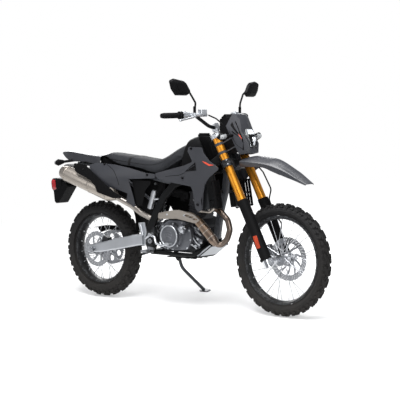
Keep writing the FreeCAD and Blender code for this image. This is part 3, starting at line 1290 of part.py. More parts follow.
def fork_tubes():
    tubes = []
    for side in (-1, 1):
        low = V(LEG_OFFSET, side * FORK_HALF, FORK_TUBE_LOW_S)
        tube_body = Part.makeCylinder(FORK_TUBE_R, FORK_TOP_S - FORK_TUBE_LOW_S, low)
        cap = Part.makeCylinder(FORK_TUBE_R - 6, 8, V(LEG_OFFSET, side * FORK_HALF, FORK_TOP_S))
        tubes.append(to_fork(fused([tube_body, cap])))
    return tubes


@cache
def fork_lowers():
    """The sliding tubes with the lugs that hold the front axle ahead of them."""
    legs = []
    for side in (-1, 1):
        y = side * FORK_HALF
        slider = Part.makeCylinder(FORK_INNER_R, FORK_TUBE_LOW_S - LUG_TOP_S, V(LEG_OFFSET, y, LUG_TOP_S))
        socket = Part.makeCylinder(FORK_TUBE_R, LUG_TOP_S + 26, V(LEG_OFFSET, y, -26))
        ear = Part.makeCylinder(24, 2 * LUG_HALF, V(AXLE_LEAD, y - LUG_HALF, 0), Y_AXIS)
        web = prism_z([(LEG_OFFSET - 8, y - LUG_HALF), (AXLE_LEAD, y - LUG_HALF), (AXLE_LEAD, y + LUG_HALF),
                       (LEG_OFFSET - 8, y + LUG_HALF)], -24, 24, 0.0)
        leg = fused([slider, socket, ear, web])
        leg = leg.cut(Part.makeCylinder(FRONT_AXLE_R, 400, V(AXLE_LEAD, -200, 0), Y_AXIS))
        legs.append(to_fork(leg))
    return legs


def fork_guards():
    """A plastic half tube in front of each slider, clipped round the top of its lug."""
    guards = []
    for side in (-1, 1):
        y = side * FORK_HALF
        low = V(LEG_OFFSET, y, GUARD_LOW_S)
        outer = Part.makeCylinder(GUARD_R, GUARD_TOP_S - GUARD_LOW_S, low)
        inner = Part.makeCylinder(GUARD_R - SHEET, GUARD_TOP_S - GUARD_LOW_S, low)
        keep = Part.makeBox(80, 2 * GUARD_R, GUARD_TOP_S, V(LEG_OFFSET - 14, y - GUARD_R, GUARD_LOW_S))
        shell = outer.cut(inner).common(keep)
        ring = Part.makeCylinder(GUARD_R, 14, low).cut(Part.makeCylinder(FORK_TUBE_R + WORKING_GAP, 14, low))
        guards.append(to_fork(fused([shell, ring])))
    return guards


def front_axle():
    half = FORK_HALF + LUG_HALF + WORKING_GAP + AXLE_HEAD_T
    bar = axle_bar(FRONT_AXLE, FRONT_AXLE_R - WORKING_GAP, half)
    inner = FORK_HALF - LUG_HALF
    right = spacer(FRONT_AXLE, -inner + WORKING_GAP, -(FRONT_FLANGE_Y + 6) - WORKING_GAP, FRONT_AXLE_R + 5)
    left = spacer(FRONT_AXLE, FRONT_DISC_Y + DISC_T / 2 + WORKING_GAP, inner - WORKING_GAP, FRONT_AXLE_R + 5)
    return [bored(fused([bar, right, left]), FRONT_AXLE)]


def front_caliper():
    """The sliding caliper behind the left leg, with its arm to the leg's lug."""
    low = FRONT_DISC_Y - DISC_T / 2 - DISC_GAP
    high = FRONT_DISC_Y + DISC_T / 2 + DISC_GAP
    body = Part.makeBox(46, CALIPER_FACE_Y - (low - 12), 92, V(-70, low - 12, 48))
    body = body.fuse(Part.makeBox(45, 14, 40, V(-40, high + 6, 60)))
    arm = Part.makeBox(39, 12, 36, V(-34, FORK_HALF - LUG_HALF - 6, 40))
    whole = to_fork(fused([body, arm]))
    slot = Part.makeCylinder(FRONT_DISC_R + 4, high - low, V(FRONT_AXLE.x, low, FRONT_AXLE.z), Y_AXIS)
    hub_room = Part.makeCylinder(72, 60, V(FRONT_AXLE.x, low - 30, FRONT_AXLE.z), Y_AXIS)
    return [whole.cut(slot).cut(hub_room).cut(fork_lowers()[1])]


def front_hose():
    """The brake hose from the lever's cylinder, behind the cowl and down the left leg to its caliper."""
    end, along = grip_axis(-1)
    start = end + along * (PERCH_AT + 92) + V(PERCH_AHEAD + 4, 0, -2)
    down = [V(300, -92, 1206), V(356, -56, 1148), V(398, 10, 1050), V(440, 66, 960), V(476, 101, 914),
            V(519, 104, 873),
            V(583, 102, 768)]
    leg = [(45, 0, 400), (45, 0, 300), (37, 41, 235), (0, 53, 200), (-53, 41, 150), (-75, 5, 120)]
    down += [at_fork(LEG_OFFSET + f, FORK_HALF + y, s) for f, y, s in leg]
    down.append(at_fork(LEG_OFFSET - 75, CALIPER_FACE_Y + WORKING_GAP, 120))
    return [tube([start] + down, HOSE_R, 36.0)]


def handlebar():
    right = [V(BAR_END_X, -BAR_HALF, BAR_END_Z), V(BAR_BEND_X, -BAR_BEND_Y, BAR_BEND_Z), V(250, -105, 1160)]
    clamp_at = at_fork(BAR_CLAMP_F, 0, BAR_CLAMP_S)
    right.append(V(clamp_at.x, -76, clamp_at.z))
    left = [V(p.x, -p.y, p.z) for p in reversed(right)]
    return [tube(right + left, BAR_R, 70.0)]


def grip_axis(side):
    end = V(BAR_END_X, side * BAR_HALF, BAR_END_Z)
    inner = V(BAR_BEND_X, side * BAR_BEND_Y, BAR_BEND_Z)
    return end, (inner - end).normalize()


def grips():
    pieces = []
    for side in (-1, 1):
        end, along = grip_axis(side)
        outer = rod(end - along * 4, end + along * GRIP_LENGTH, GRIP_R)
        flange = rod(end + along * (GRIP_LENGTH - 6), end + along * GRIP_LENGTH, GRIP_R + 8)
        knob = rod(end - along * 14, end - along * 4, GRIP_R - 2)
        body = fused([outer, flange, knob]).cut(rod(end - along * 0.5, end + along * (GRIP_LENGTH + 1),
                                                    BAR_R + WORKING_GAP))
        pieces.append(body)
    return pieces


def perch_pivot(side):
    """Where the lever turns, ahead of the bar and a little below it."""
    end, along = grip_axis(side)
    ahead = (X_AXIS - along * X_AXIS.dot(along)).normalize()
    return end + along * PERCH_AT + ahead * PERCH_AHEAD - V(0, 0, 6)


def controls():
    """Switch housings, perches and levers; on the right the front brake's cylinder and reservoir."""
    pieces = []
    for side in (-1, 1):
        end, along = grip_axis(side)
        ahead = (X_AXIS - along * X_AXIS.dot(along)).normalize()
        housing = rod(end + along * (GRIP_LENGTH + 4), end + along * (PERCH_AT - 12), BAR_R + 11)
        cable_box = rod(end + along * (GRIP_LENGTH + 14), end + along * (GRIP_LENGTH + 38), BAR_R + 15)
        perch_at = end + along * PERCH_AT
        perch = rod(perch_at - along * 12, perch_at + along * 12, BAR_R + 7)
        pivot = perch_pivot(side)
        arm = beam([(perch_at + ahead * 8, 11, 9), (pivot, 11, 8)])
        boss = rod(pivot - V(0, 0, 10), pivot + V(0, 0, PERCH_BOSS_TOP), 11.0)
        tip = end + along * 88 + ahead * 58 - V(0, 0, 30)
        blade = beam([(pivot, 7, 7), (pivot - along * 26 + ahead * 19 - V(0, 0, 6), 7, 5), (tip, 7, 4)])
        items = [housing, cable_box, perch, arm, boss, blade, Part.makeSphere(8.0, tip)]
        if side < 0:
            cylinder = perch_at + ahead * (PERCH_AHEAD + 4)
            items.append(rod(cylinder, cylinder + along * 88, 11.0))
            cup = cylinder + along * 58
            corners = [cup + along * (a * 25) + ahead * (b * 18) + V(0, 0, 4) for a,
                       b in ((-1, -1), (1, -1), (1, 1), (-1, 1))]
            items.append(Part.Face(rounded_wire(corners, 8)).extrude(V(0, 0, 30)))
        body = fused(items).cut(rod(end, perch_at + along * 20, BAR_R + WORKING_GAP))
        pieces.append(body)
    return pieces


def mirrors():
    """A pointed pentagon of mirror each side on a bent stalk from the lever's perch."""
    outline = [(90, 40), (53, 52), (-26, 41), (-48, 26), (-90, -32), (-58, -50), (40, -50), (75, -10)]
    pieces = []
    for side in (-1, 1):
        base = perch_pivot(side) + V(0, 0, PERCH_BOSS_TOP + WORKING_GAP)
        sleeve = rod(base, base + V(0, 0, 40), 9.0)
        head_at = V(229, side * MIRROR_HALF_SPAN, MIRROR_Z)
        stalk = tube([base + V(0, 0, 10), V(245, side * 226, 1302), V(236, side * 268, 1360),
                      V(238, side * 300, 1384)], 6.0, 24.0)
        corners = [V(0, side * y, z) for y, z in outline]
        shell = Part.makeLoft([rounded_wire(corners, 12),
                               rounded_wire([V(16, p.y * 0.9, p.z * 0.88) for p in corners], 12),
                               rounded_wire([V(26, p.y * 0.55, p.z * 0.5) for p in corners], 10)], True, True)
        shell.rotate(ORIGIN, Z_AXIS, side * MIRROR_YAW)
        shell.translate(head_at)
        pieces.append(fused([sleeve, stalk, shell]))
    return pieces


def faceted(rings):
    """A closed hull of flat facets strung between rings that have the same number of corners."""
    faces = []

    def facet(p, q, r):
        faces.append(Part.Face(Part.makePolygon([p, q, r, p])))

    for ring, following in zip(rings, rings[1:]):
        for i in range(len(ring)):
            k = (i + 1) % len(ring)
            facet(ring[i], ring[k], following[k])
            facet(ring[i], following[k], following[i])
    for ring in (rings[0], rings[-1]):
        middle = V(0, 0, 0)
        for p in ring:
            middle += p * (1.0 / len(ring))
        for i in range(len(ring)):
            facet(ring[i], ring[(i + 1) % len(ring)], middle)
    hull = Part.makeSolid(Part.makeShell(faces))
    return hull if hull.Volume > 0 else hull.reversed()


def mask_ring(half, inset=0.0, back=0.0):
    """A closed ring from its left half, drawn in towards the middle and moved back for the inner wall."""
    middle_z = sum(z for x, y, z in half) / len(half)
    ring = []
    for x, y, z in half:
        toward = 1 if z > middle_z else -1
        ring.append(V(x - back, max(y - inset, 0.0), z - toward * inset))
    return ring + [V(p.x, -p.y, p.z) for p in reversed(ring[1:-1])]


@cache
def headlamp_mask():
    """The faceted cowl ahead of the fork, hollow behind, with the window for its lamp."""
    back = [(424, 0, 1238), (410, 72, 1234), (392, 112, 1160), (440, 92, 1050), (470, 80, 985), (500, 0, 984)]
    middle = [(450, 0, 1232), (430, 60, 1226), (424, 96, 1150), (476, 84, 1056), (500, 66, 990),
              (520, 0, 988)]
    front = [(462, 0, 1205), (452, 48, 1200), (474, 62, 1130), (524, 52, 1052), (530, 40, 995), (540, 0, 994)]
    outer = faceted([mask_ring(half) for half in (back, middle, front)])
    open_back = [(x - 20, y, z) for x, y, z in back]
    inner = faceted([mask_ring(open_back, MASK_WALL), mask_ring(middle, MASK_WALL, 4.0),
                     mask_ring(front, MASK_WALL, MASK_WALL)])
    clips = []
    for side in (-1, 1):
        for s, reach, reach_y in ((748.0, 126.0, 83.0), (806.0, 130.0, 94.0)):
            ring = Part.makeCylinder(FORK_TUBE_R + 3, 16, V(LEG_OFFSET, side * FORK_HALF, s - 8))
            arm = rod(V(LEG_OFFSET + 20, side * (FORK_HALF - 8), s), V(reach, side * reach_y, s), 4.0)
            hole = Part.makeCylinder(FORK_TUBE_R + WORKING_GAP, 40, V(LEG_OFFSET, side * FORK_HALF, s - 20))
            clips.append(to_fork(ring.fuse(arm).cut(hole)))
    return [fused([outer.cut(inner)] + clips).cut(lamp_body(LAMP_GAP))]


def lamp_body(grow):
    """The headlamp's tall outline seen from ahead, swept back through the cowl and grown for its window."""
    half = [(24, 1141), (36, 1103), (30, 1049), (16, 1031)]
    middle_z = 1086.0
    outline = [(y + grow, z + math.copysign(grow, z - middle_z)) for y, z in half]
    outline += [(-y, z) for y, z in reversed(outline)]
    return Part.Face(rounded_wire([V(420, y, z) for y, z in outline], 10)).extrude(V(160, 0, 0))


def headlamp():
    """The lamp unit: a lens that stands a little proud of the cowl, over a round projector."""
    side = prism([(487, 1150), (507, 1104), (520, 1069), (531, 1020), (500, 1020), (486, 1069), (472, 1104),
                  (450, 1150)], -60, 60)
    lens = lamp_body(0.0).common(side)
    return [lens.fuse(rod(V(500, 0, 1069), V(526, 0, 1071), 18.0)).removeSplitter()]


def instrument():
    case = Part.makeBox(34, 120, 78, V(-17, -60, -39))
    case.rotate(ORIGIN, Y_AXIS, -38)
    case.translate(V(352, 0, 1192))
    arm = tube([V(360, 0, 1165), at_fork(66, 0, TOP_CLAMP_S)], 9.0, 10.0)
    lug = beam([(at_fork(18, 0, TOP_CLAMP_S), 24, 9), (at_fork(72, 0, TOP_CLAMP_S), 18, 9)])
    return [fused([case, arm, lug]).cut(top_clamp()[0])]


def front_fender():
    """The high front mudguard, carried under the lower clamp."""
    stations = [(474, 76, 912, 82, 943, 964), (560, 78, 913, 84, 940, 978), (660, 78, 911, 82, 933, 969),
                (735, 76, 888, 80, 920, 954), (832, 72, 857, 72, 889, 906), (905, 62, 834, 60, 853, 864),
                (972, 46, 808, 42, 816, 819)]
    pointed = prism_z([(460, -100), (937, -100), (937, -50), (964, 0), (937, 50), (937, 100), (460, 100)],
                      700, 1100)
    cover = hood(stations, SHEET).common(pointed)
    low = LOW_CLAMP_S - LOW_CLAMP_T / 2 - WORKING_GAP
    mount = to_fork(Part.makeBox(148, 84, 7, V(-18, -42, low - 7)))
    return [fused([cover, mount])]


def front_signals():
    right = signal(V(428, -92, 1102), V(412, -212, 1093), 60)
    return [lamp.cut(headlamp_mask()[0]) for lamp in both_sides(right)]


# The whole motorcycle

PIECES = {
    "frame": lambda: frame() + stand_bracket(),
    "down_tube": down_tube,
    "subframe": subframe,
    "swingarm": swingarm,
    "spindles": lambda: rear_axle() + pivot_bolt(),
    "shock": shock,
    "chain": lambda: chain() + drive_sprocket(),
    "chain_guard": chain_guard,
    "engine_cases": engine_cases,
    "clutch_cover": clutch_cover,
    "generator_cover": generator_cover,
    "cylinder_head": cylinder_head,
    "intake": intake,
    "air_box": air_box,
    "exhaust_header": exhaust_header,
    "exhaust_shield": exhaust_shield,
    "muffler": muffler,
    "muffler_guard": muffler_guard,
    "radiators": radiators,
    "radiator_louvres": radiator_louvres,
    "shrouds": lambda: both_sides(shroud()),
    "fuel_tank": fuel_tank,
    "seat": seat,
    "side_panels": side_panels,
    "side_inserts": lambda: both_sides(side_insert()),
    "tail": tail,
    "plate_holder": plate_holder,
    "tail_lamp": tail_lamp,
    "rear_signals": rear_signals,
    "skid_plate": skid_plate,
    "foot_pegs": foot_pegs,
    "foot_levers": lambda: brake_pedal() + shift_lever() + heel_guard(),
    "rear_caliper": rear_caliper,
    "side_stand": side_stand,
    "top_clamp": top_clamp,
    "low_clamp": low_clamp,
    "fork_tubes": fork_tubes,
    "fork_lowers": fork_lowers,
    "fork_guards": fork_guards,
    "front_axle": front_axle,
    "front_caliper": front_caliper,
    "front_hose": front_hose,
    "handlebar": handlebar,
    "grips": grips,
    "controls": controls,
    "mirrors": mirrors,
    "headlamp_mask": headlamp_mask,
    "headlamp": headlamp,
    "instrument": instrument,
    "front_fender": front_fender,
    "front_signals": front_signals,
}


def build():
    nodes = {name: make() for name, make in PIECES.items()}
    nodes.update(front_wheel())
    nodes.update(rear_wheel())
    return nodes


def leaned(point_or_shape):
    """Over onto the side stand: a turn about the ground line, towards the rider's left."""
    placed = point_or_shape.copy()
    placed.rotate(ORIGIN, X_AXIS, -LEAN)
    return placed


def leaned_vector(v):
    cos, sin = math.cos(lean_rad), math.sin(lean_rad)
    return V(v.x, v.y * cos + v.z * sin, v.z * cos - v.y * sin)


nodes = {name: Part.makeCompound([leaned(shape) for shape in shapes]) for name, shapes in build().items()}
box = FreeCAD.BoundBox()
for shape in nodes.values():
    box.add(shape.optimalBoundingBox(False))
shift = V(-box.Center.x, -box.Center.y, -box.ZMin)

os.makedirs("parts", exist_ok=True)
for name, shape in nodes.items():
    moved(shape, shift).exportStep("parts/" + name + ".step")

for label, point, axis in (("steering", at_fork(0, 0, LOW_CLAMP_S), STEER_UP),
                           ("front wheel", FRONT_AXLE, Y_AXIS),
                           ("rear wheel", REAR_AXLE, Y_AXIS), ("side stand", STAND_PIVOT, stand_axis())):
    print(label, leaned_vector(point) + shift, leaned_vector(axis))
print("shift", shift, "size", box.XLength, box.YLength, box.ZLength)
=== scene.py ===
import json
import math

import bmesh
import bpy
from mathutils import Matrix, Vector
from mathutils.bvhtree import BVHTree
from mathutils.geometry import delaunay_2d_cdt


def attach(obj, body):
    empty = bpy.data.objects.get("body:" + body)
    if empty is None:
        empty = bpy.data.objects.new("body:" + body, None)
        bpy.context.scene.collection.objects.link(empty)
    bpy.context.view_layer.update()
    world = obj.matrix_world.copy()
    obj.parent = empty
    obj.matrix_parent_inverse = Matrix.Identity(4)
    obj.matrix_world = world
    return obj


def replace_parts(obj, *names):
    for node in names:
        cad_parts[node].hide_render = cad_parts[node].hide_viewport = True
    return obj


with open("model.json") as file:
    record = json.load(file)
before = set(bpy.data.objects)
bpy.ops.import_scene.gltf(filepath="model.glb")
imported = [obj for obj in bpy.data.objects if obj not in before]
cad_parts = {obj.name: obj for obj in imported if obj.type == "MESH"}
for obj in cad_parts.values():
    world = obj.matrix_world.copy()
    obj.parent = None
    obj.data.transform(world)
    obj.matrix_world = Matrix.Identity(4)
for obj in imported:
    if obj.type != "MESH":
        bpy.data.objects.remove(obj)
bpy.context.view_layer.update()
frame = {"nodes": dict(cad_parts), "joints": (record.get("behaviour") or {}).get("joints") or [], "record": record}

# A dual sport motorcycle parked on its side stand. Its pieces are drawn in millimetres on the
# upright machine, with +X forward, +Y to the rider's left and +Z up, and the origin on the
# ground midway between the axles. The stance leans them over and brings them to metres.

LEAN = math.radians(10.0)
RAKE = math.radians(27.5)
FRONT_AXLE = Vector((745.0, 0.0, 346.68))
REAR_AXLE = Vector((-745.0, 0.0, 325.96))
STEER_FOOT = Vector((688.8, 0.0, 317.4))
STEER_UP = Vector((-math.sin(RAKE), 0.0, math.cos(RAKE)))
STEER_FORWARD = Vector((math.cos(RAKE), 0.0, math.sin(RAKE)))
ACROSS = Vector((0.0, 1.0, 0.0))
SIDES = ((-1, "right"), (1, "left"))

# Wheels and chain
TREAD_H = 9.0
FRONT_RIM_R = 270.0
FRONT_RIM_W = 52.0
REAR_RIM_R = 232.0
REAR_RIM_W = 72.0
RIM_DEPTH = 20.0
SPOKES = 36
HUB_HOLE_R = 32.0
DISC_HALF = 2.0
DISC_ARM_HALF = 4.6
DISC_SWEEP = math.radians(24)
DISC_WAVE = 3.4
CHAIN_PITCH = 15.875
CHAIN_Y = 78.0
DRIVE_AT = Vector((-148.0, 0.0, 428.0))
DRIVE_TEETH = 15
REAR_TEETH = 43

# Fork, exhaust, handlebar and mirrors
FORK_OFFSET = 23.0
FORK_HALF = 105.0
FORK_R = 27.0
FORK_LOW = 356.0
FORK_TOP = 876.0
MUFFLER_FRONT = Vector((-500.0, -132.0, 688.0))
MUFFLER_BACK = Vector((-1003.0, -132.0, 845.0))
MUFFLER_R = 52.0
CHAMBER_LOW = Vector((302.0, -118.0, 446.0))
CHAMBER_HIGH = Vector((206.0, -144.0, 560.0))
CHAMBER_R = 29.0
GRIP_INNER = Vector((202.0, 185.0, 1228.0))
GRIP_OUTER = Vector((145.0, 415.0, 1223.0))
MIRROR_Y = 360
MIRROR_Z = 1396
MIRROR_EDGE = [(82, 36), (50, 45), (-24, 35), (-42, 22), (-78, -30), (-54, -42), (36, -42), (66, -8)]

# Seat, in metres
SEAT_VOXEL = 0.006
SEAT_SWELL = 0.006
SEAT_UNDERSIDE_SWELL = 0.001
SEAT_FRAMES = 20

# Front mudguard. Each row: x, half width and height of the skirt, half width and height of the
# shoulder, height of the crown
FENDER_ROWS = [(474, 76, 912, 82, 943, 964), (560, 78, 913, 84, 940, 978), (660, 78, 911, 82, 933, 969),
               (735, 76, 888, 80, 920, 954), (832, 72, 857, 72, 889, 906), (905, 62, 834, 60, 853, 864),
               (972, 46, 808, 42, 816, 819)]
FENDER_BACK = 474.0
FENDER_TIP = 963.0
FENDER_CORNER = 27.0
FENDER_SHEET = 3.0

# Camera and floor
CAMERA_AT = Vector((5217.0, -6308.0, 1206.0))
CAMERA_ROUND = math.radians(39.07)
CAMERA_ABOVE = math.radians(3.66)
CAMERA_ROLL = math.radians(-0.05)
FOCAL_PIXELS = 1273.2
PICTURE_PIXELS = 400.0
SENSOR_MM = 36.0
FLOOR_REACH = 14.0

joints = {joint["name"]: joint for joint in frame["joints"]}
leaning = Matrix.Rotation(-LEAN, 4, "X") @ Matrix.Scale(0.001, 4)
STANCE = Matrix.Translation(Vector(joints["front_wheel_spin"]["pos_m"]) - leaning @ FRONT_AXLE) @ leaning
HERE = Matrix.Identity(4)
FACE_RIGHT = Matrix.Rotation(math.pi / 2, 4, "X")


# Node trees

def fill(tree, node, inputs):
    """Gives a node's inputs, by name or number, a value or another node's output."""
    for key, value in inputs.items():
        if isinstance(value, bpy.types.NodeSocket):
            tree.links.new(value, node.inputs[key])
        else:
            node.inputs[key].default_value = value
    return node


def add_node(tree, kind, inputs, **settings):
    node = tree.nodes.new(kind)
    for setting, value in settings.items():
        setattr(node, setting, value)
    return fill(tree, node, inputs)


def math_node(tree, operation, *values):
    return add_node(tree, "ShaderNodeMath", dict(enumerate(values)), operation=operation).outputs[0]


def ramp_node(tree, source, stops):
    node = add_node(tree, "ShaderNodeValToRGB", {0: source})
    ramp = node.color_ramp
    while len(ramp.elements) < len(stops):
        ramp.elements.new(0.5)
    for element, (place, shade) in zip(ramp.elements, stops):
        element.position = place
        element.color = (*shade, 1.0) if isinstance(shade, tuple) else (shade, shade, shade, 1.0)
    return node.outputs[0]


def noise_node(tree, place, scale, detail, roughness=0.55):
    return add_node(tree, "ShaderNodeTexNoise", {"Vector": place, "Scale": scale, "Detail": detail,
                                                 "Roughness": roughness}).outputs["Fac"]


def bump_node(tree, height, strength, distance):
    return add_node(tree, "ShaderNodeBump", {"Strength": strength, "Distance": distance,
                                             "Height": height}).outputs[0]


def mix_colour(tree, factor, first, second, blend="MIX"):
    return add_node(tree, "ShaderNodeMix", {0: factor, 6: first, 7: second}, data_type="RGBA",
                    blend_type=blend).outputs[2]


# Shader parts that several finishes share

def shader_group(name, values, results):
    """A shader group that takes a place and the named values, with the sockets of its two ends."""
    tree = bpy.data.node_groups.new(name, "ShaderNodeTree")
    tree.interface.new_socket("Place", in_out="INPUT", socket_type="NodeSocketVector")
    for label, value in values.items():
        kind = "NodeSocketVector" if isinstance(value, tuple) else "NodeSocketFloat"
        tree.interface.new_socket(label, in_out="INPUT", socket_type=kind).default_value = value
    for label in results:
        tree.interface.new_socket(label, in_out="OUTPUT", socket_type="NodeSocketFloat")
    return tree, tree.nodes.new("NodeGroupInput").outputs, tree.nodes.new("NodeGroupOutput")


def make_grain_group():
    """Moulded grain: fine pits over broad soft mottling."""
    tree, source, result = shader_group("moulded_grain", {"Scale": 900.0, "Mottle": 14.0},
                                        ("Height", "Shade"))
    fine = noise_node(tree, source["Place"], source["Scale"], 4.0)
    cells = add_node(tree, "ShaderNodeTexVoronoi", {"Vector": source["Place"], "Scale": source["Scale"]})
    fill(tree, result, {"Height": math_node(tree, "MULTIPLY_ADD", cells.outputs["Distance"], 0.6, fine),
                        "Shade": noise_node(tree, source["Place"], source["Mottle"], 3.0)})
    return tree


def make_brush_group():
    """Lines left by brushing, drawn out along one direction."""
    tree, source, result = shader_group("brushed_lines", {"Stretch": (1.0, 1.0, 1.0), "Scale": 60.0},
                                        ("Height", "Shade"))
    stretched = add_node(tree, "ShaderNodeVectorMath", {0: source["Place"], 1: source["Stretch"]},
                         operation="MULTIPLY").outputs[0]
    lines = noise_node(tree, stretched, source["Scale"], 5.0, 0.7)
    broad = math_node(tree, "MULTIPLY", noise_node(tree, source["Place"], 9.0, 2.0), 0.3)
    fill(tree, result, {"Height": lines, "Shade": math_node(tree, "MULTIPLY_ADD", lines, 0.7, broad)})
    return tree


def make_film_group():
    """A thin road film that grows towards the ground, broken up by noise."""
    tree, source, result = shader_group("road_film", {"Amount": 0.2, "Top": 0.7}, ("Mask",))
    height = add_node(tree, "ShaderNodeSeparateXYZ", {0: source["Place"]}).outputs["Z"]
    low = add_node(tree, "ShaderNodeMapRange", {"Value": height, "From Min": 0.0, "From Max": source["Top"],
                                                "To Min": 1.0, "To Max": 0.0}).outputs[0]
    patches = noise_node(tree, source["Place"], 22.0, 6.0, 0.65)
    broken = math_node(tree, "MULTIPLY", low, patches)
    fill(tree, result, {"Mask": math_node(tree, "MULTIPLY", broken, source["Amount"])})
    return tree


def make_edge_group():
    """A mask of the outer edges, where handling and stones rub a finish bright."""
    tree, source, result = shader_group("rubbed_edges", {"Amount": 0.3}, ("Mask",))
    geometry = add_node(tree, "ShaderNodeNewGeometry", {})
    sharp = ramp_node(tree, geometry.outputs["Pointiness"], [(0.52, 0.0), (0.60, 1.0)])
    chipped = ramp_node(tree, noise_node(tree, source["Place"], 70.0, 5.0, 0.7), [(0.42, 0.0), (0.62, 1.0)])
    both = math_node(tree, "MULTIPLY", sharp, chipped)
    fill(tree, result, {"Mask": math_node(tree, "MULTIPLY", both, source["Amount"])})
    return tree


GRAIN = make_grain_group()
BRUSH = make_brush_group()
FILM = make_film_group()
EDGES = make_edge_group()
FILM_COLOUR = (0.30, 0.26, 0.21, 1.0)


# Finishes

def linear(hexed):
    """A written colour such as 4a4a4e as the shader's linear values."""
    values = [int(hexed[i:i + 2], 16) / 255 for i in (0, 2, 4)]
    return tuple(v / 12.92 if v <= 0.04045 else ((v + 0.055) / 1.055) ** 2.4 for v in values)


def mottled(tree, shade, colour, stops):
    """The written colour, made darker or lighter by each stop's gain as the shade reaches it."""
    base = linear(colour)
    return ramp_node(tree, shade, [(at, tuple(min(v * gain, 1.0) for v in base)) for at, gain in stops])


def start_material(name):
    """A new material with its node tree, its shader and the surface's own place."""
    material = bpy.data.materials.new(name)
    material.use_nodes = True
    tree = material.node_tree
    place = add_node(tree, "ShaderNodeTexCoord", {}).outputs["Object"]
    return material, tree, tree.nodes["Principled BSDF"], place


def place_group(tree, group, place, **values):
    return add_node(tree, "ShaderNodeGroup", {"Place": place, **values}, node_tree=group).outputs


def finish_material(name, colour, rough, metal=0.0, coat=0.0, brushed=None, relief=0.0001, mottle=0.12,
                    film=0.1, wear=0.0, scale=900.0, level=0.5):
    """A finish with a surface pattern, mottled colour, a little road film and rubbed edges."""
    material, tree, shader, place = start_material(name)
    if brushed:
        surface = place_group(tree, BRUSH, place, Stretch=brushed, Scale=scale)
    else:
        surface = place_group(tree, GRAIN, place, Scale=scale)
    dust = place_group(tree, FILM, place, Amount=film)["Mask"]
    shaded = mottled(tree, surface["Shade"], colour, [(0.25, 1.0 - mottle), (0.75, 1.0 + mottle)])
    dusty = mix_colour(tree, dust, shaded, FILM_COLOUR)
    if wear > 0:
        rubbed = place_group(tree, EDGES, place, Amount=wear)["Mask"]
        dusty = mix_colour(tree, rubbed, dusty, (*linear("9a9da1"), 1.0))
    uneven = math_node(tree, "MULTIPLY_ADD", surface["Shade"], 0.18, rough - 0.09)
    fill(tree, shader, {
        "Metallic": metal, "Coat Weight": coat, "Coat Roughness": 0.18, "Specular IOR Level": level,
        "Base Color": dusty,
        "Roughness": math_node(tree, "ADD", uneven, math_node(tree, "MULTIPLY", dust, 0.4)),
        "Normal": bump_node(tree, surface["Height"], 0.6, relief)})
    return material


def lens_material(name, colour, rough, transmission):
    """Clear or tinted moulded lens with fine prism lines inside."""
    material, tree, shader, place = start_material(name)
    shade = place_group(tree, GRAIN, place, Scale=260.0)["Shade"]
    prisms = add_node(tree, "ShaderNodeTexWave", {"Scale": 55.0, "Vector": place}).outputs["Fac"]
    fill(tree, shader, {
        "Transmission Weight": transmission, "IOR": 1.49, "Coat Weight": 0.6, "Coat Roughness": 0.05,
        "Base Color": mottled(tree, shade, colour, [(0.3, 0.8), (0.7, 1.15)]),
        "Roughness": math_node(tree, "MULTIPLY_ADD", shade, 0.06, rough),
        "Normal": bump_node(tree, prisms, 0.5, 0.0006)})
    return material


def heated_steel(name):
    """Header steel: straw and brown where the engine heats it, grey further back."""
    material = finish_material(name, "9a948e", 0.3, metal=0.92, relief=0.00002, mottle=0.12, film=0.05)
    tree = material.node_tree
    shader = tree.nodes["Principled BSDF"]
    place = add_node(tree, "ShaderNodeTexCoord", {}).outputs["Object"]
    ahead = add_node(tree, "ShaderNodeSeparateXYZ", {0: place}).outputs["X"]
    reach = math_node(tree, "MULTIPLY_ADD", noise_node(tree, place, 9.0, 3.0), 0.16, ahead)
    heat = add_node(tree, "ShaderNodeMapRange", {"Value": reach, "From Min": 0.12,
                                                 "From Max": 0.50}).outputs[0]
    tint = ramp_node(tree, heat, [(0.0, (1.0, 1.0, 1.0)), (0.35, (0.95, 0.84, 0.72)),
                                  (0.62, (0.72, 0.55, 0.42)), (0.95, (0.42, 0.36, 0.33))])
    steel = shader.inputs["Base Color"].links[0].from_socket
    fill(tree, shader, {"Base Color": mix_colour(tree, 1.0, steel, tint, "MULTIPLY")})
    return material


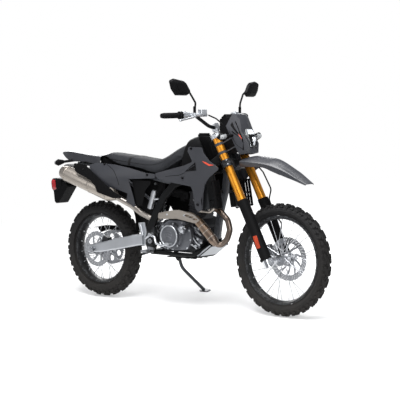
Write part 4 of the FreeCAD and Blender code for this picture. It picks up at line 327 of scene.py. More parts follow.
# Each finish: colour, roughness and what else sets it apart
LOOKS = {
    "black_frame": ("0b0c0d", 0.42, dict(mottle=0.1, wear=0.1, film=0.015, level=0.1)),
    "grey_frame": ("3a3c40", 0.38, dict(metal=0.4, mottle=0.08, wear=0.15, level=0.3, film=0.03)),
    "grey_plastic": ("292a2e", 0.36, dict(coat=0.06, relief=0.00003, mottle=0.05, film=0.02, level=0.35)),
    "black_plastic": ("0a0a0b", 0.52, dict(relief=0.00012, mottle=0.12, film=0.01, level=0.06)),
    "gold_anodised": ("e0962f", 0.3, dict(metal=0.92, coat=0.15, relief=0.000004, mottle=0.03, film=0.01)),
    "bright_alloy": ("b4b7bb", 0.36, dict(metal=0.9, relief=0.00004, mottle=0.07, film=0.05)),
    "cast_alloy": ("63656a", 0.46, dict(metal=0.8, relief=0.00025, mottle=0.2, scale=700.0, film=0.08)),
    "dark_casting": ("26272a", 0.5, dict(metal=0.5, relief=0.0003, mottle=0.2, scale=600.0, film=0.05,
                                         level=0.25)),
    "steel": ("a9abaf", 0.3, dict(metal=0.95, relief=0.00002, mottle=0.1, film=0.05)),
    "muffler_steel": ("9d968e", 0.36, dict(metal=0.85, brushed=(1.0, 8.0, 8.0), scale=24.0, relief=0.00002,
                                           mottle=0.1, film=0.03)),
    "chrome_steel": ("cfd1d4", 0.14, dict(metal=1.0, relief=0.00001, mottle=0.04, film=0.02)),
    "black_rim": ("101113", 0.34, dict(metal=0.3, mottle=0.12, film=0.04, wear=0.2, level=0.25)),
    "tyre_rubber": ("151516", 0.76, dict(relief=0.0003, mottle=0.18, scale=500.0, film=0.07, level=0.18)),
    "black_rubber": ("0c0c0d", 0.66, dict(relief=0.0002, mottle=0.15, scale=600.0, level=0.1, film=0.02)),
    "seat_cover": ("1a1b1e", 0.78, dict(relief=0.00025, mottle=0.12, scale=420.0, film=0.01, level=0.15)),
    "stripe_red": ("b03a22", 0.35, dict(coat=0.3, relief=0.00002, mottle=0.06, film=0.02)),
    "radiator_core": ("26282a", 0.5, dict(metal=0.7, relief=0.0003, mottle=0.2)),
}
# Each lens: colour, roughness and how much light it lets through
LENSES = {
    "red_lens": ("a5121a", 0.12, 0.35), "clear_lens": ("e8ecef", 0.05, 0.85),
    "smoke_lens": ("a7aaac", 0.14, 0.35), "orange_lens": ("963012", 0.2, 0.05),
    # lamp_white is the pale glass of the projector lenses, and also the colour of the painted highlight on the
    # lamp's upper lens
    "lamp_white": ("dfe4ea", 0.08, 0.1),
}
FINISH = {}
for name, (colour, rough, more) in LOOKS.items():
    FINISH[name] = finish_material(name, colour, rough, **more)
FINISH |= {name: lens_material(name, *look) for name, look in LENSES.items()}
FINISH["header_steel"] = heated_steel("header_steel")


# Geometry node trees

def geometry_tree(name, inputs):
    """An empty geometry node tree with its named sockets."""
    tree = bpy.data.node_groups.new(name, "GeometryNodeTree")
    tree.is_modifier = True
    for label, kind, value in [("Geometry", "Geometry", None)] + inputs:
        socket = tree.interface.new_socket(label, in_out="INPUT", socket_type="NodeSocket" + kind)
        if value is not None:
            socket.default_value = value
    tree.interface.new_socket("Geometry", in_out="OUTPUT", socket_type="NodeSocketGeometry")
    return tree, tree.nodes.new("NodeGroupInput").outputs, tree.nodes.new("NodeGroupOutput")


def make_shading_tree():
    """Joins loose facets and shades them smooth up to an angle, so that creases stay crisp."""
    tree, source, result = geometry_tree("soft_shading", [("Angle", "Float", math.radians(32.0))])
    joined = add_node(tree, "GeometryNodeMergeByDistance", {"Geometry": source["Geometry"],
                                                            "Distance": 0.00001})
    smooth = add_node(tree, "GeometryNodeSetShadeSmooth", {"Geometry": joined.outputs[0]})
    angle = add_node(tree, "GeometryNodeInputMeshEdgeAngle", {}).outputs["Unsigned Angle"]
    sharp = add_node(tree, "FunctionNodeCompare", {0: angle, 1: source["Angle"]}, operation="GREATER_THAN")
    crease = add_node(tree, "GeometryNodeSetShadeSmooth", {
        "Geometry": smooth.outputs[0], "Selection": sharp.outputs[0], "Shade Smooth": False}, domain="EDGE")
    fill(tree, result, {"Geometry": crease.outputs[0]})
    return tree


def make_repeat_tree():
    """Sets one shape at each point, turned and sized as the point says, with a little play."""
    tree, source, result = geometry_tree("repeated_shape", [
        ("Shape", "Object", None), ("Finish", "Material", None), ("Play", "Float", 0.0), ("Seed", "Int", 5)])
    turn = add_node(tree, "GeometryNodeInputNamedAttribute", {"Name": "turn"}, data_type="QUATERNION")
    size = add_node(tree, "GeometryNodeInputNamedAttribute", {"Name": "size"}, data_type="FLOAT_VECTOR")
    play = add_node(tree, "FunctionNodeRandomValue", {
        2: math_node(tree, "SUBTRACT", 1.0, source["Play"]), 3: math_node(tree, "ADD", 1.0, source["Play"]),
        "Seed": source["Seed"]}, data_type="FLOAT")
    sized = add_node(tree, "ShaderNodeVectorMath", {0: size.outputs[0], "Scale": play.outputs[1]},
                     operation="SCALE")
    shape = add_node(tree, "GeometryNodeObjectInfo", {"Object": source["Shape"]})
    copies = add_node(tree, "GeometryNodeInstanceOnPoints", {
        "Points": source["Geometry"], "Instance": shape.outputs["Geometry"], "Rotation": turn.outputs[0],
        "Scale": sized.outputs[0]})
    real = add_node(tree, "GeometryNodeRealizeInstances", {0: copies.outputs[0]})
    finish = add_node(tree, "GeometryNodeSetMaterial", {"Geometry": real.outputs[0],
                                                        "Material": source["Finish"]})
    fill(tree, result, {"Geometry": finish.outputs[0]})
    return tree


SHADING = make_shading_tree()
REPEAT = make_repeat_tree()


def soften(piece):
    modifier = piece.modifiers.new("shading", "NODES")
    modifier.node_group = SHADING


# The CAD nodes' finishes

REFINISHED = {"muffler": "muffler_steel", "exhaust_shield": "muffler_steel", "skid_plate": "black_plastic",
              "rear_signals": "black_plastic", "front_signals": "black_plastic",
              "tail_lamp": "black_plastic", "cylinder_head": "dark_casting",
              "engine_cases": "dark_casting", "rear_caliper": "dark_casting"}
for row in frame["record"]["subparts"]:
    node = frame["nodes"][row["node"]]
    node.data.materials.clear()
    node.data.materials.append(FINISH[REFINISHED.get(row["node"], row["material_slot"])])
    soften(node)


# Outlines and placings

def rounded(outline, radius, steps=4):
    """A closed outline with a curve of that reach at each corner."""
    points = [Vector(corner) for corner in outline]
    curve = []
    for i, corner in enumerate(points):
        back = points[i - 1] - corner
        ahead = points[(i + 1) % len(points)] - corner
        one = corner + back.normalized() * min(radius, back.length * 0.45)
        two = corner + ahead.normalized() * min(radius, ahead.length * 0.45)
        for k in range(steps + 1):
            t = k / steps
            curve.append(one * (1 - t) ** 2 + corner * (2 * t * (1 - t)) + two * t ** 2)
    return curve


def divided(curve, longest):
    """The closed curve with points added until no side is longer than that."""
    points = []
    for i, start in enumerate(curve):
        end = curve[(i + 1) % len(curve)]
        count = max(1, math.ceil((end - start).length / longest))
        points += [start.lerp(end, k / count) for k in range(count)]
    return [p for i, p in enumerate(points) if (p - points[i - 1]).length > 0.02]


def inset(curve, amount):
    """The closed curve moved inwards by that much."""
    turns_left = sum(curve[i - 1].x * p.y - p.x * curve[i - 1].y for i, p in enumerate(curve)) > 0
    reach = amount if turns_left else -amount
    points = []
    for i, point in enumerate(curve):
        along = curve[(i + 1) % len(curve)] - curve[i - 1]
        points.append(point + Vector((-along.y, along.x)).normalized() * reach)
    return points


def encloses(curve, place):
    inside = False
    for i, end in enumerate(curve):
        start = curve[i - 1]
        if (start.y > place.y) != (end.y > place.y):
            if place.x < start.x + (place.y - start.y) * (end.x - start.x) / (end.y - start.y):
                inside = not inside
    return inside


def mirrored(outline):
    return [(-a, b) for a, b in outline]


def polar(radius, angle):
    return Vector((radius * math.cos(angle), radius * math.sin(angle)))


def smooth_path(points, steps):
    """Points on a curve that passes through the given ones."""
    points = [Vector(point) for point in points]
    rows = [points[0] * 2 - points[1]] + points + [points[-1] * 2 - points[-2]]
    path = []
    for a, b, c, d in zip(rows, rows[1:], rows[2:], rows[3:]):
        for k in range(steps):
            t = k / steps
            bend = (2 * a - 5 * b + 4 * c - d) * t ** 2 + (3 * b - a - 3 * c + d) * t ** 3
            path.append(0.5 * (2 * b + (c - a) * t + bend))
    return path + [points[-1]]


def heading(path, i):
    """The direction of a path at its point i."""
    return (path[min(i + 1, len(path) - 1)] - path[max(i - 1, 0)]).normalized()


def axes(x, y, z):
    """The turn that brings a shape's own axes to these."""
    return Matrix((x, y, z)).transposed().to_4x4()


def aimed(point, normal, size=1.0):
    """The placing of a shape whose own Z axis points along the normal."""
    turn = Vector(normal).to_track_quat("Z", "Y").to_matrix().to_4x4()
    return Matrix.Translation(point) @ turn @ Matrix.Scale(size, 4)


def at_fork(f, y, s):
    """The point f ahead of the steering axis, y to the left and s up it."""
    return STEER_FOOT + STEER_FORWARD * f + ACROSS * y + STEER_UP * s


# Solids

def join_rings(shape, one, two):
    for k in range(len(one)):
        corners = list(dict.fromkeys((one[k - 1], one[k], two[k], two[k - 1])))
        if len(corners) > 2:
            shape.faces.new(corners)


def skin(shape, rings):
    """Joins each ring of corners to the next and closes both ends."""
    for one, two in zip(rings, rings[1:]):
        join_rings(shape, one, two)
    shape.faces.new(rings[0])
    shape.faces.new(rings[-1])


def slab(shape, faces, top, low):
    """A solid between two like layers of corners: the faces of each and the sides round them."""
    sides = {}
    for face in faces:
        shape.faces.new([top[k] for k in face])
        shape.faces.new([low[k] for k in reversed(face)])
        for k, corner in enumerate(face):
            side = (face[k - 1], corner)
            sides[frozenset(side)] = None if frozenset(side) in sides else side
    for a, b in filter(None, sides.values()):
        shape.faces.new((top[a], low[a], low[b], top[b]))


def loop_sides(count, first=0):
    return [(first + k, first + (k + 1) % count) for k in range(count)]


def lathe(shape, profile, placing, steps, closed=False):
    """Turns a (radius, height) profile about the Z axis of its placing."""
    rings = []
    for radius, height in profile:
        if radius < 0.001:
            rings.append([shape.verts.new(placing @ Vector((0, 0, height)))] * steps)
        else:
            spots = (polar(radius, math.tau * k / steps) for k in range(steps))
            rings.append([shape.verts.new(placing @ Vector((*spot, height))) for spot in spots])
    for one, two in zip(rings, rings[1:] + (rings[:1] if closed else [])):
        join_rings(shape, one, two)
    if not closed:
        for end in (rings[0], rings[-1]):
            if end[0] is not end[1]:
                shape.faces.new(end)


def tube(shape, points, radius, sides, steps):
    """A round bar whose middle passes smoothly through the points."""
    path = smooth_path(points, steps)
    aside = (path[1] - path[0]).orthogonal().normalized()
    rings = []
    for i, at in enumerate(path):
        ahead = heading(path, i)
        aside = (aside - ahead * aside.dot(ahead)).normalized()
        up = ahead.cross(aside)
        spots = (polar(radius, math.tau * k / sides) for k in range(sides))
        rings.append([shape.verts.new(at + aside * spot.x + up * spot.y) for spot in spots])
    skin(shape, rings)


def plate(shape, outline, low, high, radius, edge, placing=None):
    """An outline made solid from one height to another, with its edges broken. It lies in the (x, z)
    plane with its height along y, or in the placing's own (x, y) plane with its height along z."""
    border = rounded(outline, radius)
    inner = inset(border, edge)
    rings = []
    for ring, height in ((inner, low), (border, low + edge), (border, high - edge), (inner, high)):
        if placing:
            rings.append([shape.verts.new(placing @ Vector((p.x, p.y, height))) for p in ring])
        else:
            rings.append([shape.verts.new((p.x, height, p.y)) for p in ring])
    skin(shape, rings)


def side_plates(shape, outline, near, far, radius, edge):
    """Like plates on both sides of the machine, between two distances from its middle."""
    for side, _ in SIDES:
        plate(shape, outline, *sorted((side * near, side * far)), radius, edge)


def rod(shape, start, end, radius, steps, edge=0.6):
    """A short round bar with broken edges."""
    along = Vector(end) - Vector(start)
    length = along.length
    lathe(shape, [(0, 0), (radius - edge, 0), (radius, edge), (radius, length - edge),
                  (radius - edge, length), (0, length)], aimed(start, along), steps)


def ribbon(shape, path, half_width, thick, steps, curl):
    """A bent sheet whose middle line runs through (x, z) points, with its sides curled down."""
    points = smooth_path(path, steps)
    shares = [-1.0, -0.82, -0.5, 0.0, 0.5, 0.82, 1.0]
    rows = []
    for i, point in enumerate(points):
        along = heading(points, i)
        out = Vector((-along.y, along.x))
        if out.y < 0:
            out = -out
        row = []
        for share, depth in [(share, 0.0) for share in shares] + [(share, thick) for share in shares[::-1]]:
            at = point - out * (depth + curl * share ** 4)
            row.append(shape.verts.new((at.x, share * half_width, at.y)))
        rows.append(row)
    skin(shape, rows)


# Skins on the CAD's own surfaces

VIEWS = {
    "right": (lambda a, b: Vector((a, -900, b)), Vector((0, 1, 0))),
    "left": (lambda a, b: Vector((a, 900, b)), Vector((0, -1, 0))),
    "front": (lambda a, b: Vector((1500, a, b)), Vector((-1, 0, 0))),
    "back": (lambda a, b: Vector((-1800, a, b)), Vector((1, 0, 0))),
    "top": (lambda a, b: Vector((a, b, 2000)), Vector((0, 0, -1))),
}
SURFACES = {}


def surface_of(piece):
    """A piece's surface in upright millimetres."""
    if piece.name not in SURFACES:
        back = STANCE.inverted() @ piece.matrix_world
        mesh = piece.data
        SURFACES[piece.name] = BVHTree.FromPolygons([back @ v.co for v in mesh.vertices],
                                                    [p.vertices for p in mesh.polygons])
    return SURFACES[piece.name]


def seen_point(node, view, a, b):
    """Where a sight line in that view first meets the node, and the surface's normal there."""
    starts, sight = VIEWS[view]
    piece = frame["nodes"][node] if isinstance(node, str) else node
    point, normal, _, _ = surface_of(piece).ray_cast(starts(a, b), sight)
    if point is None:
        point, normal, _, _ = surface_of(piece).find_nearest(starts(a, b) + sight * 760)
    return point, normal if normal.dot(sight) < 0 else -normal


def panel(shape, node, view, outline, lift, depth, radius, grain):
    """A thin skin that follows the node's surface under the outline, closed behind."""
    border = divided(rounded(outline, radius), grain)
    low = Vector((min(p.x for p in border), min(p.y for p in border)))
    high = Vector((max(p.x for p in border), max(p.y for p in border)))
    keep_in = inset(border, grain * 0.35)
    places = list(border)
    for i in range(1, int((high.x - low.x) / grain) + 1):
        for j in range(1, int((high.y - low.y) / grain) + 1):
            place = low + Vector((i * grain, j * grain))
            if encloses(keep_in, place):
                places.append(place)
    flat, _, faces, _, _, _ = delaunay_2d_cdt(places, loop_sides(len(border)), [], 1, 0.001)
    sight = VIEWS[view][1]
    found = [seen_point(node, view, place.x, place.y)[0] for place in flat]
    outer = [shape.verts.new(point - sight * lift) for point in found]
    inner = [shape.verts.new(point - sight * (lift - depth)) for point in found]
    slab(shape, faces, outer, inner)


def strip(shape, node, view, line, width, lift, depth):
    """A narrow skin along a line on the node's surface."""
    points = smooth_path(line, 5)
    asides = []
    for i in range(len(points)):
        along = heading(points, i)
        asides.append(Vector((-along.y, along.x)) * (width / 2))
    sight = VIEWS[view][1]
    rows = []
    for side, height in ((1, lift - depth), (1, lift), (-1, lift), (-1, lift - depth)):
        row = []
        for point, aside in zip(points, asides):
            spot = point + aside * side
            row.append(shape.verts.new(seen_point(node, view, spot.x, spot.y)[0] - sight * height))
        rows.append(row)
    skin(shape, list(zip(*rows)))


def drape(shape, piece, stations, half_width, lift=1.6, sink=2.0):
    """A band laid over a piece through sight-line stations of (view, x, other)."""
    rows = []
    for view, x, other in stations:
        one, one_up = seen_point(piece, view, x - half_width, other)
        two, two_up = seen_point(piece, view, x + half_width, other)
        rows.append([shape.verts.new(at) for at in (one - one_up * sink, one + one_up * lift,
                                                    two + two_up * lift, two - two_up * sink)])
    skin(shape, rows)


# Making pieces

def add_object(name, data):
    made = bpy.data.objects.new(name, data)
    bpy.context.scene.collection.objects.link(made)
    return made


def mesh_of(name, shape):
    mesh = bpy.data.meshes.new(name)
    shape.to_mesh(mesh)
    shape.free()
    return mesh


def dress(piece, finish, body):
    """Gives a piece its finish and shading and lets it ride on a body."""
    piece.data.materials.clear()
    piece.data.materials.append(FINISH[finish])
    soften(piece)
    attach(piece, body)
    return piece


def place(name, shape, finish, body):
    """Closes a drawn shape, leans it into the stance and lets it ride on a body."""
    bmesh.ops.remove_doubles(shape, verts=shape.verts, dist=0.005)
    bmesh.ops.recalc_face_normals(shape, faces=shape.faces)
    shape.transform(STANCE)
    return dress(add_object(name, mesh_of(name, shape)), finish, body)


def skins(name, finish, body, *parts):
    """A piece of panels and strips. Each part: what draws it, node, views, outline and measures."""
    shape = bmesh.new()
    for draw, node, views, outline, *measures in parts:
        for view in views.split():
            draw(shape, node, view, outline, *measures)
    place(name, shape, finish, body)


PATTERNS = bpy.data.collections.new("patterns")
WAITING = []


def repeated(name, template, placings, finish, body, play=0.0):
    """Copies of a template, drawn in millimetres, at upright placings that turn and size it."""
    bmesh.ops.recalc_face_normals(template, faces=template.faces)
    pattern = bpy.data.objects.new(name + "_pattern", mesh_of(name + "_pattern", template))
    PATTERNS.objects.link(pattern)
    cloud = bpy.data.meshes.new(name + "_places")
    parts = [(STANCE @ placing).decompose() for placing in placings]
    cloud.from_pydata([at for at, _, _ in parts], [], [])
    cloud.attributes.new("turn", "QUATERNION", "POINT")
    cloud.attributes.new("size", "FLOAT_VECTOR", "POINT")
    cloud.attributes["turn"].data.foreach_set("value", [value for _, turn, _ in parts for value in turn])
    cloud.attributes["size"].data.foreach_set("vector", [value for _, _, size in parts for value in size])
    holder = add_object(name, cloud)
    modifier = holder.modifiers.new("repeat", "NODES")
    modifier.node_group = REPEAT
    values = {"Shape": pattern, "Finish": FINISH[finish], "Play": play, "Seed": 5}
    for socket in REPEAT.interface.items_tree:
        if socket.name in values and socket.in_out == "INPUT":
            modifier[socket.identifier] = values[socket.name]
    WAITING.append((holder, finish, body))


def make_copies():
    """Turns every waiting set of copies into a plain mesh piece."""
    graph = bpy.context.evaluated_depsgraph_get()
    meshes = [bpy.data.meshes.new_from_object(holder.evaluated_get(graph)) for holder, _, _ in WAITING]
    for (holder, finish, body), mesh in zip(WAITING, meshes):
        for label in ("turn", "size"):
            if label in mesh.attributes:
                mesh.attributes.remove(mesh.attributes[label])
        holder.modifiers.clear()
        holder.data = mesh
        dress(holder, finish, body)


# Templates for what repeats

def hex_bolt():
    """A flanged hexagon head, one millimetre in half width."""
    shape = bmesh.new()
    lathe(shape, [(0, -0.3), (1.4, -0.3), (1.45, 0.1), (1.2, 0.28), (0, 0.28)], HERE, 14)
    lathe(shape, [(0, 0.2), (1.0, 0.2), (1.0, 0.95), (0.82, 1.1), (0, 1.1)], HERE, 6)
    return shape


def cap_bolt():
    """A round socket head, one millimetre in radius."""
    shape = bmesh.new()
    lathe(shape, [(0, -0.3), (0.95, -0.3), (1.0, -0.1), (1.0, 0.75), (0.9, 0.9), (0.56, 0.9)], HERE, 16)
    lathe(shape, [(0.56, 0.9), (0.5, 0.35), (0, 0.3)], HERE, 16)
    return shape


def knob():
    """A tread block one millimetre each way, narrower and softened at the top."""
    shape = bmesh.new()
    square = rounded([(-0.5, -0.5), (0.5, -0.5), (0.5, 0.5), (-0.5, 0.5)], 0.16, 2)
    skin(shape, [[shape.verts.new((p.x * scale, p.y * scale, height)) for p in square]
                 for scale, height in ((1.06, -0.4), (0.98, 0.15), (0.9, 0.86), (0.8, 1.0))])
    return shape


# Wheels

def wheel_turn(axle):
    """The placing whose Z axis is the wheel's axle."""
    return Matrix.Translation(axle) @ Matrix.Rotation(-math.pi / 2, 4, "X")


def tyre_profile(outer_r, crown_r, rim_r, rim_w):
    """(wheel radius, y) of the carcass from the left bead over the crown to the right one."""
    def at(radius, degrees):
        spot = polar(radius, math.radians(degrees))
        return (outer_r - crown_r + spot.x, spot.y)

    under_tread = crown_r - TREAD_H
    half = [at(under_tread, a) for a in (0, 12, 24, 36, 48, 58)]
    half += [at(under_tread + 2.5, 66), at(crown_r - 4, 76), at(crown_r - 4.5, 86), at(crown_r - 3.2, 90)]
    half += [at(crown_r - 3.2, 94), at(crown_r - 4.8, 98), at(crown_r - 6, 110)]
    half += [(rim_r + 12, rim_w / 2 + 1.5), (rim_r + 6, rim_w / 2 + 1.5), (rim_r + 3, rim_w / 2 - 2)]
    return [(r, -y) for r, y in reversed(half[1:])] + half


def make_tyre(name, node, axle, outer_r, crown_r, rim_r, rim_w, rows, body):
    """A carcass of one turned profile, dressed with rows of staggered knobs."""
    shape = bmesh.new()
    lathe(shape, tyre_profile(outer_r, crown_r, rim_r, rim_w), wheel_turn(axle), 108, closed=True)
    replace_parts(place(name + "_carcass", shape, "tyre_rubber", body), node)
    placings = []
    pitch = math.tau * outer_r / rows
    under_tread = crown_r - TREAD_H

    def add(row, lean, along, across, height, twist=0.0, radius=under_tread):
        angle = math.tau * row / rows
        outward = Vector((math.sin(angle), 0, math.cos(angle)))
        tangent = Vector((math.cos(angle), 0, -math.sin(angle)))
        lean = math.radians(lean)
        up = outward * math.cos(lean) + ACROSS * math.sin(lean)
        at = axle + outward * (outer_r - crown_r) + up * radius
        placings.append(Matrix.Translation(at) @ axes(tangent, up.cross(tangent), up)
                        @ Matrix.Rotation(math.radians(twist), 4, "Z")
                        @ Matrix.Diagonal((along, across, height, 1)))

    arc = crown_r / 44.0
    for row in range(rows):
        side = 1 if row % 2 else -1
        add(row, side * 13, pitch * 0.66, 17 * arc, TREAD_H, side * 9)
        add(row + 0.5, -side * 31, pitch * 0.5, 9.5 * arc, TREAD_H - 0.4, -side * 14)
        for hand in (-1, 1):
            long = row % 2 == (hand > 0)
            add(row + 0.25, hand * 49, pitch * (0.62 if long else 0.5), 13 * arc, TREAD_H - 0.6, hand * 5)
            add(row + 0.25, hand * (70 if long else 66), pitch * (0.5 if long else 0.36), 12 * arc, 3.0, 0.0,
                crown_r - 6.5)
    repeated(name + "_knobs", knob(), placings, "tyre_rubber", body, play=0.02)


def disc_holes(band_in, band, carrier_r, arms):
    """The windows between a disc's swept arms, and the rows of drilled holes in its band."""
    low_gap = DISC_ARM_HALF / carrier_r
    high_gap = DISC_ARM_HALF / band_in
    holes = []

    def on_arm(share, angle):
        return polar(carrier_r + (band_in - carrier_r) * share, angle + DISC_SWEEP * share)

    for k in range(arms):
        start = math.tau * k / arms
        end = math.tau * (k + 1) / arms
        window = [polar(carrier_r + 3, start + low_gap), polar(carrier_r + 3, end - low_gap)]
        window += [on_arm(share, end - low_gap * 0.9) for share in (0.35, 0.7)]
        window += [on_arm(1, angle) for angle in (end - high_gap, (start + end) / 2, start + high_gap)]
        window += [on_arm(share, start + low_gap * 0.9) for share in (0.7, 0.35)]
        holes.append(rounded(window, 5.0, 2))
    rows = arms * 4
    for k in range(rows):
        for j, radius in enumerate((2.9, 3.3, 2.9)):
            at = polar(band_in + band * (0.24 + 0.27 * j), math.tau * (k + 0.3 * j) / rows)
            holes.append([at + polar(radius, math.tau * i / 8) for i in range(8)])
    return holes


def make_disc(name, node, axle, y_mid, outer_r, band, carrier_r, arms, waves, body):
    """A drilled wave disc on swept arms."""
    outline = []
    for k in range(waves * 12):
        angle = math.tau * k / (waves * 12)
        outline.append(polar(outer_r - max(0.0, math.cos(waves * angle)) ** 2 * DISC_WAVE, angle))
    holes = disc_holes(outer_r - band, band, carrier_r, arms)
    points = []
    sides = []
    for loop in [outline] + holes:
        sides += loop_sides(len(loop), len(points))
        points += loop
    flat, _, faces, _, _, _ = delaunay_2d_cdt(points, sides, [], 1, 0.0001)
    spans = [(sum(hole, Vector((0, 0))) / len(hole), max((p - hole[0]).length for p in hole), hole)
             for hole in holes]

    def is_metal(face):
        centre = sum((flat[k] for k in face), Vector((0, 0))) / len(face)
        return centre.length >= HUB_HOLE_R and not any(
            (centre - at).length < reach and encloses(hole, centre) for at, reach, hole in spans)

    shape = bmesh.new()
    placing = wheel_turn(axle + ACROSS * y_mid)
    low, top = [[shape.verts.new(placing @ Vector((p.x, p.y, height))) for p in flat]
                for height in (-DISC_HALF, DISC_HALF)]
    slab(shape, [face for face in faces if is_metal(face)], top, low)
    edge = carrier_r - 1
    lathe(shape, [(edge - 11, -4), (edge - 1, -4), (edge, -3), (edge, 3), (edge - 1, 4), (edge - 11, 4)],
          placing, 60, closed=True)
    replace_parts(place(name, shape, "steel", body), node)
    outward = 1 if y_mid > 0 else -1
    spots = []
    for k in range(6):
        at = polar(carrier_r - 7, math.tau * k / 6)
        spots.append(aimed(axle + Vector((at.x, y_mid + outward * 4.2, at.y)), ACROSS * outward, 4.2))
    repeated(name + "_bolts", cap_bolt(), spots, "black_frame", body)


def make_nipples(name, axle, rim_r, rim_w, body):
    """A turned nipple where each spoke meets the rim's well."""
    shape = bmesh.new()
    lathe(shape, [(0, 0), (3.4, 0), (3.4, 2), (2.5, 4), (2.3, 12), (0, 12)], HERE, 10)
    spots = []
    for k in range(SPOKES):
        angle = math.tau * k / SPOKES
        side = 1 if k % 2 else -1
        outward = Vector((math.sin(angle), 0, math.cos(angle)))
        at = axle + outward * (rim_r - RIM_DEPTH - 0.5) + ACROSS * (side * rim_w * 0.12)
        spots.append(aimed(at, -outward + ACROSS * (side * 0.08)))
    repeated(name, shape, spots, "bright_alloy", body)


make_tyre("front_tread", "front_tyre", FRONT_AXLE, 346.0, 44.0, FRONT_RIM_R, FRONT_RIM_W, 54, "front_wheel")
make_tyre("rear_tread", "rear_tyre", REAR_AXLE, 325.0, 62.0, REAR_RIM_R, REAR_RIM_W, 46, "rear_wheel")
make_disc("front_brake_disc", "front_disc", FRONT_AXLE, 58.0, 135.0, 34.0, 44.0, 10, 20, "front_wheel")
make_disc("rear_brake_disc", "rear_disc", REAR_AXLE, -70.0, 120.0, 30.0, 40.0, 8, 18, "rear_wheel")
make_nipples("front_nipples", FRONT_AXLE, FRONT_RIM_R, FRONT_RIM_W, "front_wheel")
make_nipples("rear_nipples", REAR_AXLE, REAR_RIM_R, REAR_RIM_W, "rear_wheel")


# Drive chain

def make_chain_links():
    """Outer and inner plates with their pins, one pitch apart along the loop."""
    rear_r = CHAIN_PITCH / (2 * math.sin(math.pi / REAR_TEETH))
    drive_r = CHAIN_PITCH / (2 * math.sin(math.pi / DRIVE_TEETH))
    span = DRIVE_AT - REAR_AXLE
    lean = math.asin((rear_r - drive_r) / span.length)
    top = math.atan2(span.z, span.x) + math.pi / 2 - lean
    low = top - math.pi + 2 * lean
    run = (span.length ** 2 - (rear_r - drive_r) ** 2) ** 0.5
    front_arc = (top - low) * drive_r
    total = 2 * run + front_arc + (math.tau - top + low) * rear_r
    count = 2 * round(total / CHAIN_PITCH / 2)

    def ray(angle):
        return Vector((math.cos(angle), 0, math.sin(angle)))

    def on_loop(at):
        """The middle of the link at that way along the loop, and its direction."""
        if at < run:
            angle = top
            point = (REAR_AXLE + ray(top) * rear_r).lerp(DRIVE_AT + ray(top) * drive_r, at / run)
        elif at < run + front_arc:
            angle = top - (at - run) / drive_r
            point = DRIVE_AT + ray(angle) * drive_r
        elif at < 2 * run + front_arc:
            angle = low
            back = (at - run - front_arc) / run
            point = (DRIVE_AT + ray(low) * drive_r).lerp(REAR_AXLE + ray(low) * rear_r, back)
        else:
            angle = low - (at - 2 * run - front_arc) / rear_r
            point = REAR_AXLE + ray(angle) * rear_r
        return point, ray(angle - math.pi / 2)

    spots = []
    for k in range(count):
        point, ahead = on_loop(total * k / count)
        out = 8.4 if k % 2 else 7.4
        for side, _ in SIDES:
            aside = ACROSS * side
            spots.append(Matrix.Translation(point + ACROSS * (CHAIN_Y + side * out))
                         @ axes(ahead, aside.cross(ahead), aside))
    link = bmesh.new()
    half = CHAIN_PITCH / 2
    waist = [(-half - 6, 0), (-half, 6.6), (0, 3.9), (half, 6.6), (half + 6, 0), (half, -6.6), (0, -3.9),
             (-half, -6.6)]
    plate(link, waist, -0.7, 0.9, 5.0, 0.3, HERE)
    for x in (-half, half):
        lathe(link, [(0, 0), (2.6, 0), (2.6, 2.0), (1.8, 2.6), (0, 2.6)], Matrix.Translation((x, 0, 0)), 10)
    repeated("chain_links", link, spots, "steel", "root")


make_chain_links()


# Fastenings

def bolts_on(name, template, node, views, places, size, finish, body="root"):
    """Bolts set on a node's surface, square to it."""
    spots = [aimed(*seen_point(node, view, a, b), size) for a, b in places for view in views.split()]
    repeated(name, template(), spots, finish, body)


def round_about(x, z, radius, count, turn):
    angles = [math.radians(turn + 360 * k / count) for k in range(count)]
    return [(x + radius * math.sin(angle), z + radius * math.cos(angle)) for angle in angles]


bolts_on("clutch_bolts", hex_bolt, "clutch_cover", "right", round_about(-31, 458, 82, 6, 15), 4.6,
         "bright_alloy")
bolts_on("right_case_bolts", hex_bolt, "clutch_cover", "right",
         [(-122, 470), (-96, 396), (-20, 374), (92, 386), (120, 440), (110, 500), (50, 546), (-112, 515)],
         4.4, "bright_alloy")
bolts_on("pump_bolts", hex_bolt, "clutch_cover", "right", round_about(67, 505, 23, 3, 30), 3.6,
         "bright_alloy")
bolts_on("generator_bolts", hex_bolt, "generator_cover", "left",
         [(-60, 500), (-40, 385), (30, 540), (80, 385), (124, 430), (122, 500), (70, 546)], 4.4,
         "bright_alloy")
bolts_on("head_bolts", cap_bolt, "cylinder_head", "right",
         [(96, 745), (150, 738), (100, 690), (150, 682)], 5.0, "bright_alloy")
bolts_on("shroud_bolts", cap_bolt, "shrouds", "right left", [(96, 834), (241, 674), (143, 1019)], 8.0,
         "black_plastic")
bolts_on("panel_bolts", cap_bolt, "side_panels", "right left", [(-225, 844), (-600, 905)], 7.0,
         "black_plastic")
bolts_on("guard_bolts", cap_bolt, "muffler_guard", "right", [(-480, 730), (-760, 870)], 6.0, "black_frame")
bolts_on("shield_bolts", hex_bolt, "exhaust_shield", "right", [(-30, 598), (112, 598)], 4.5, "bright_alloy")


# Engine covers

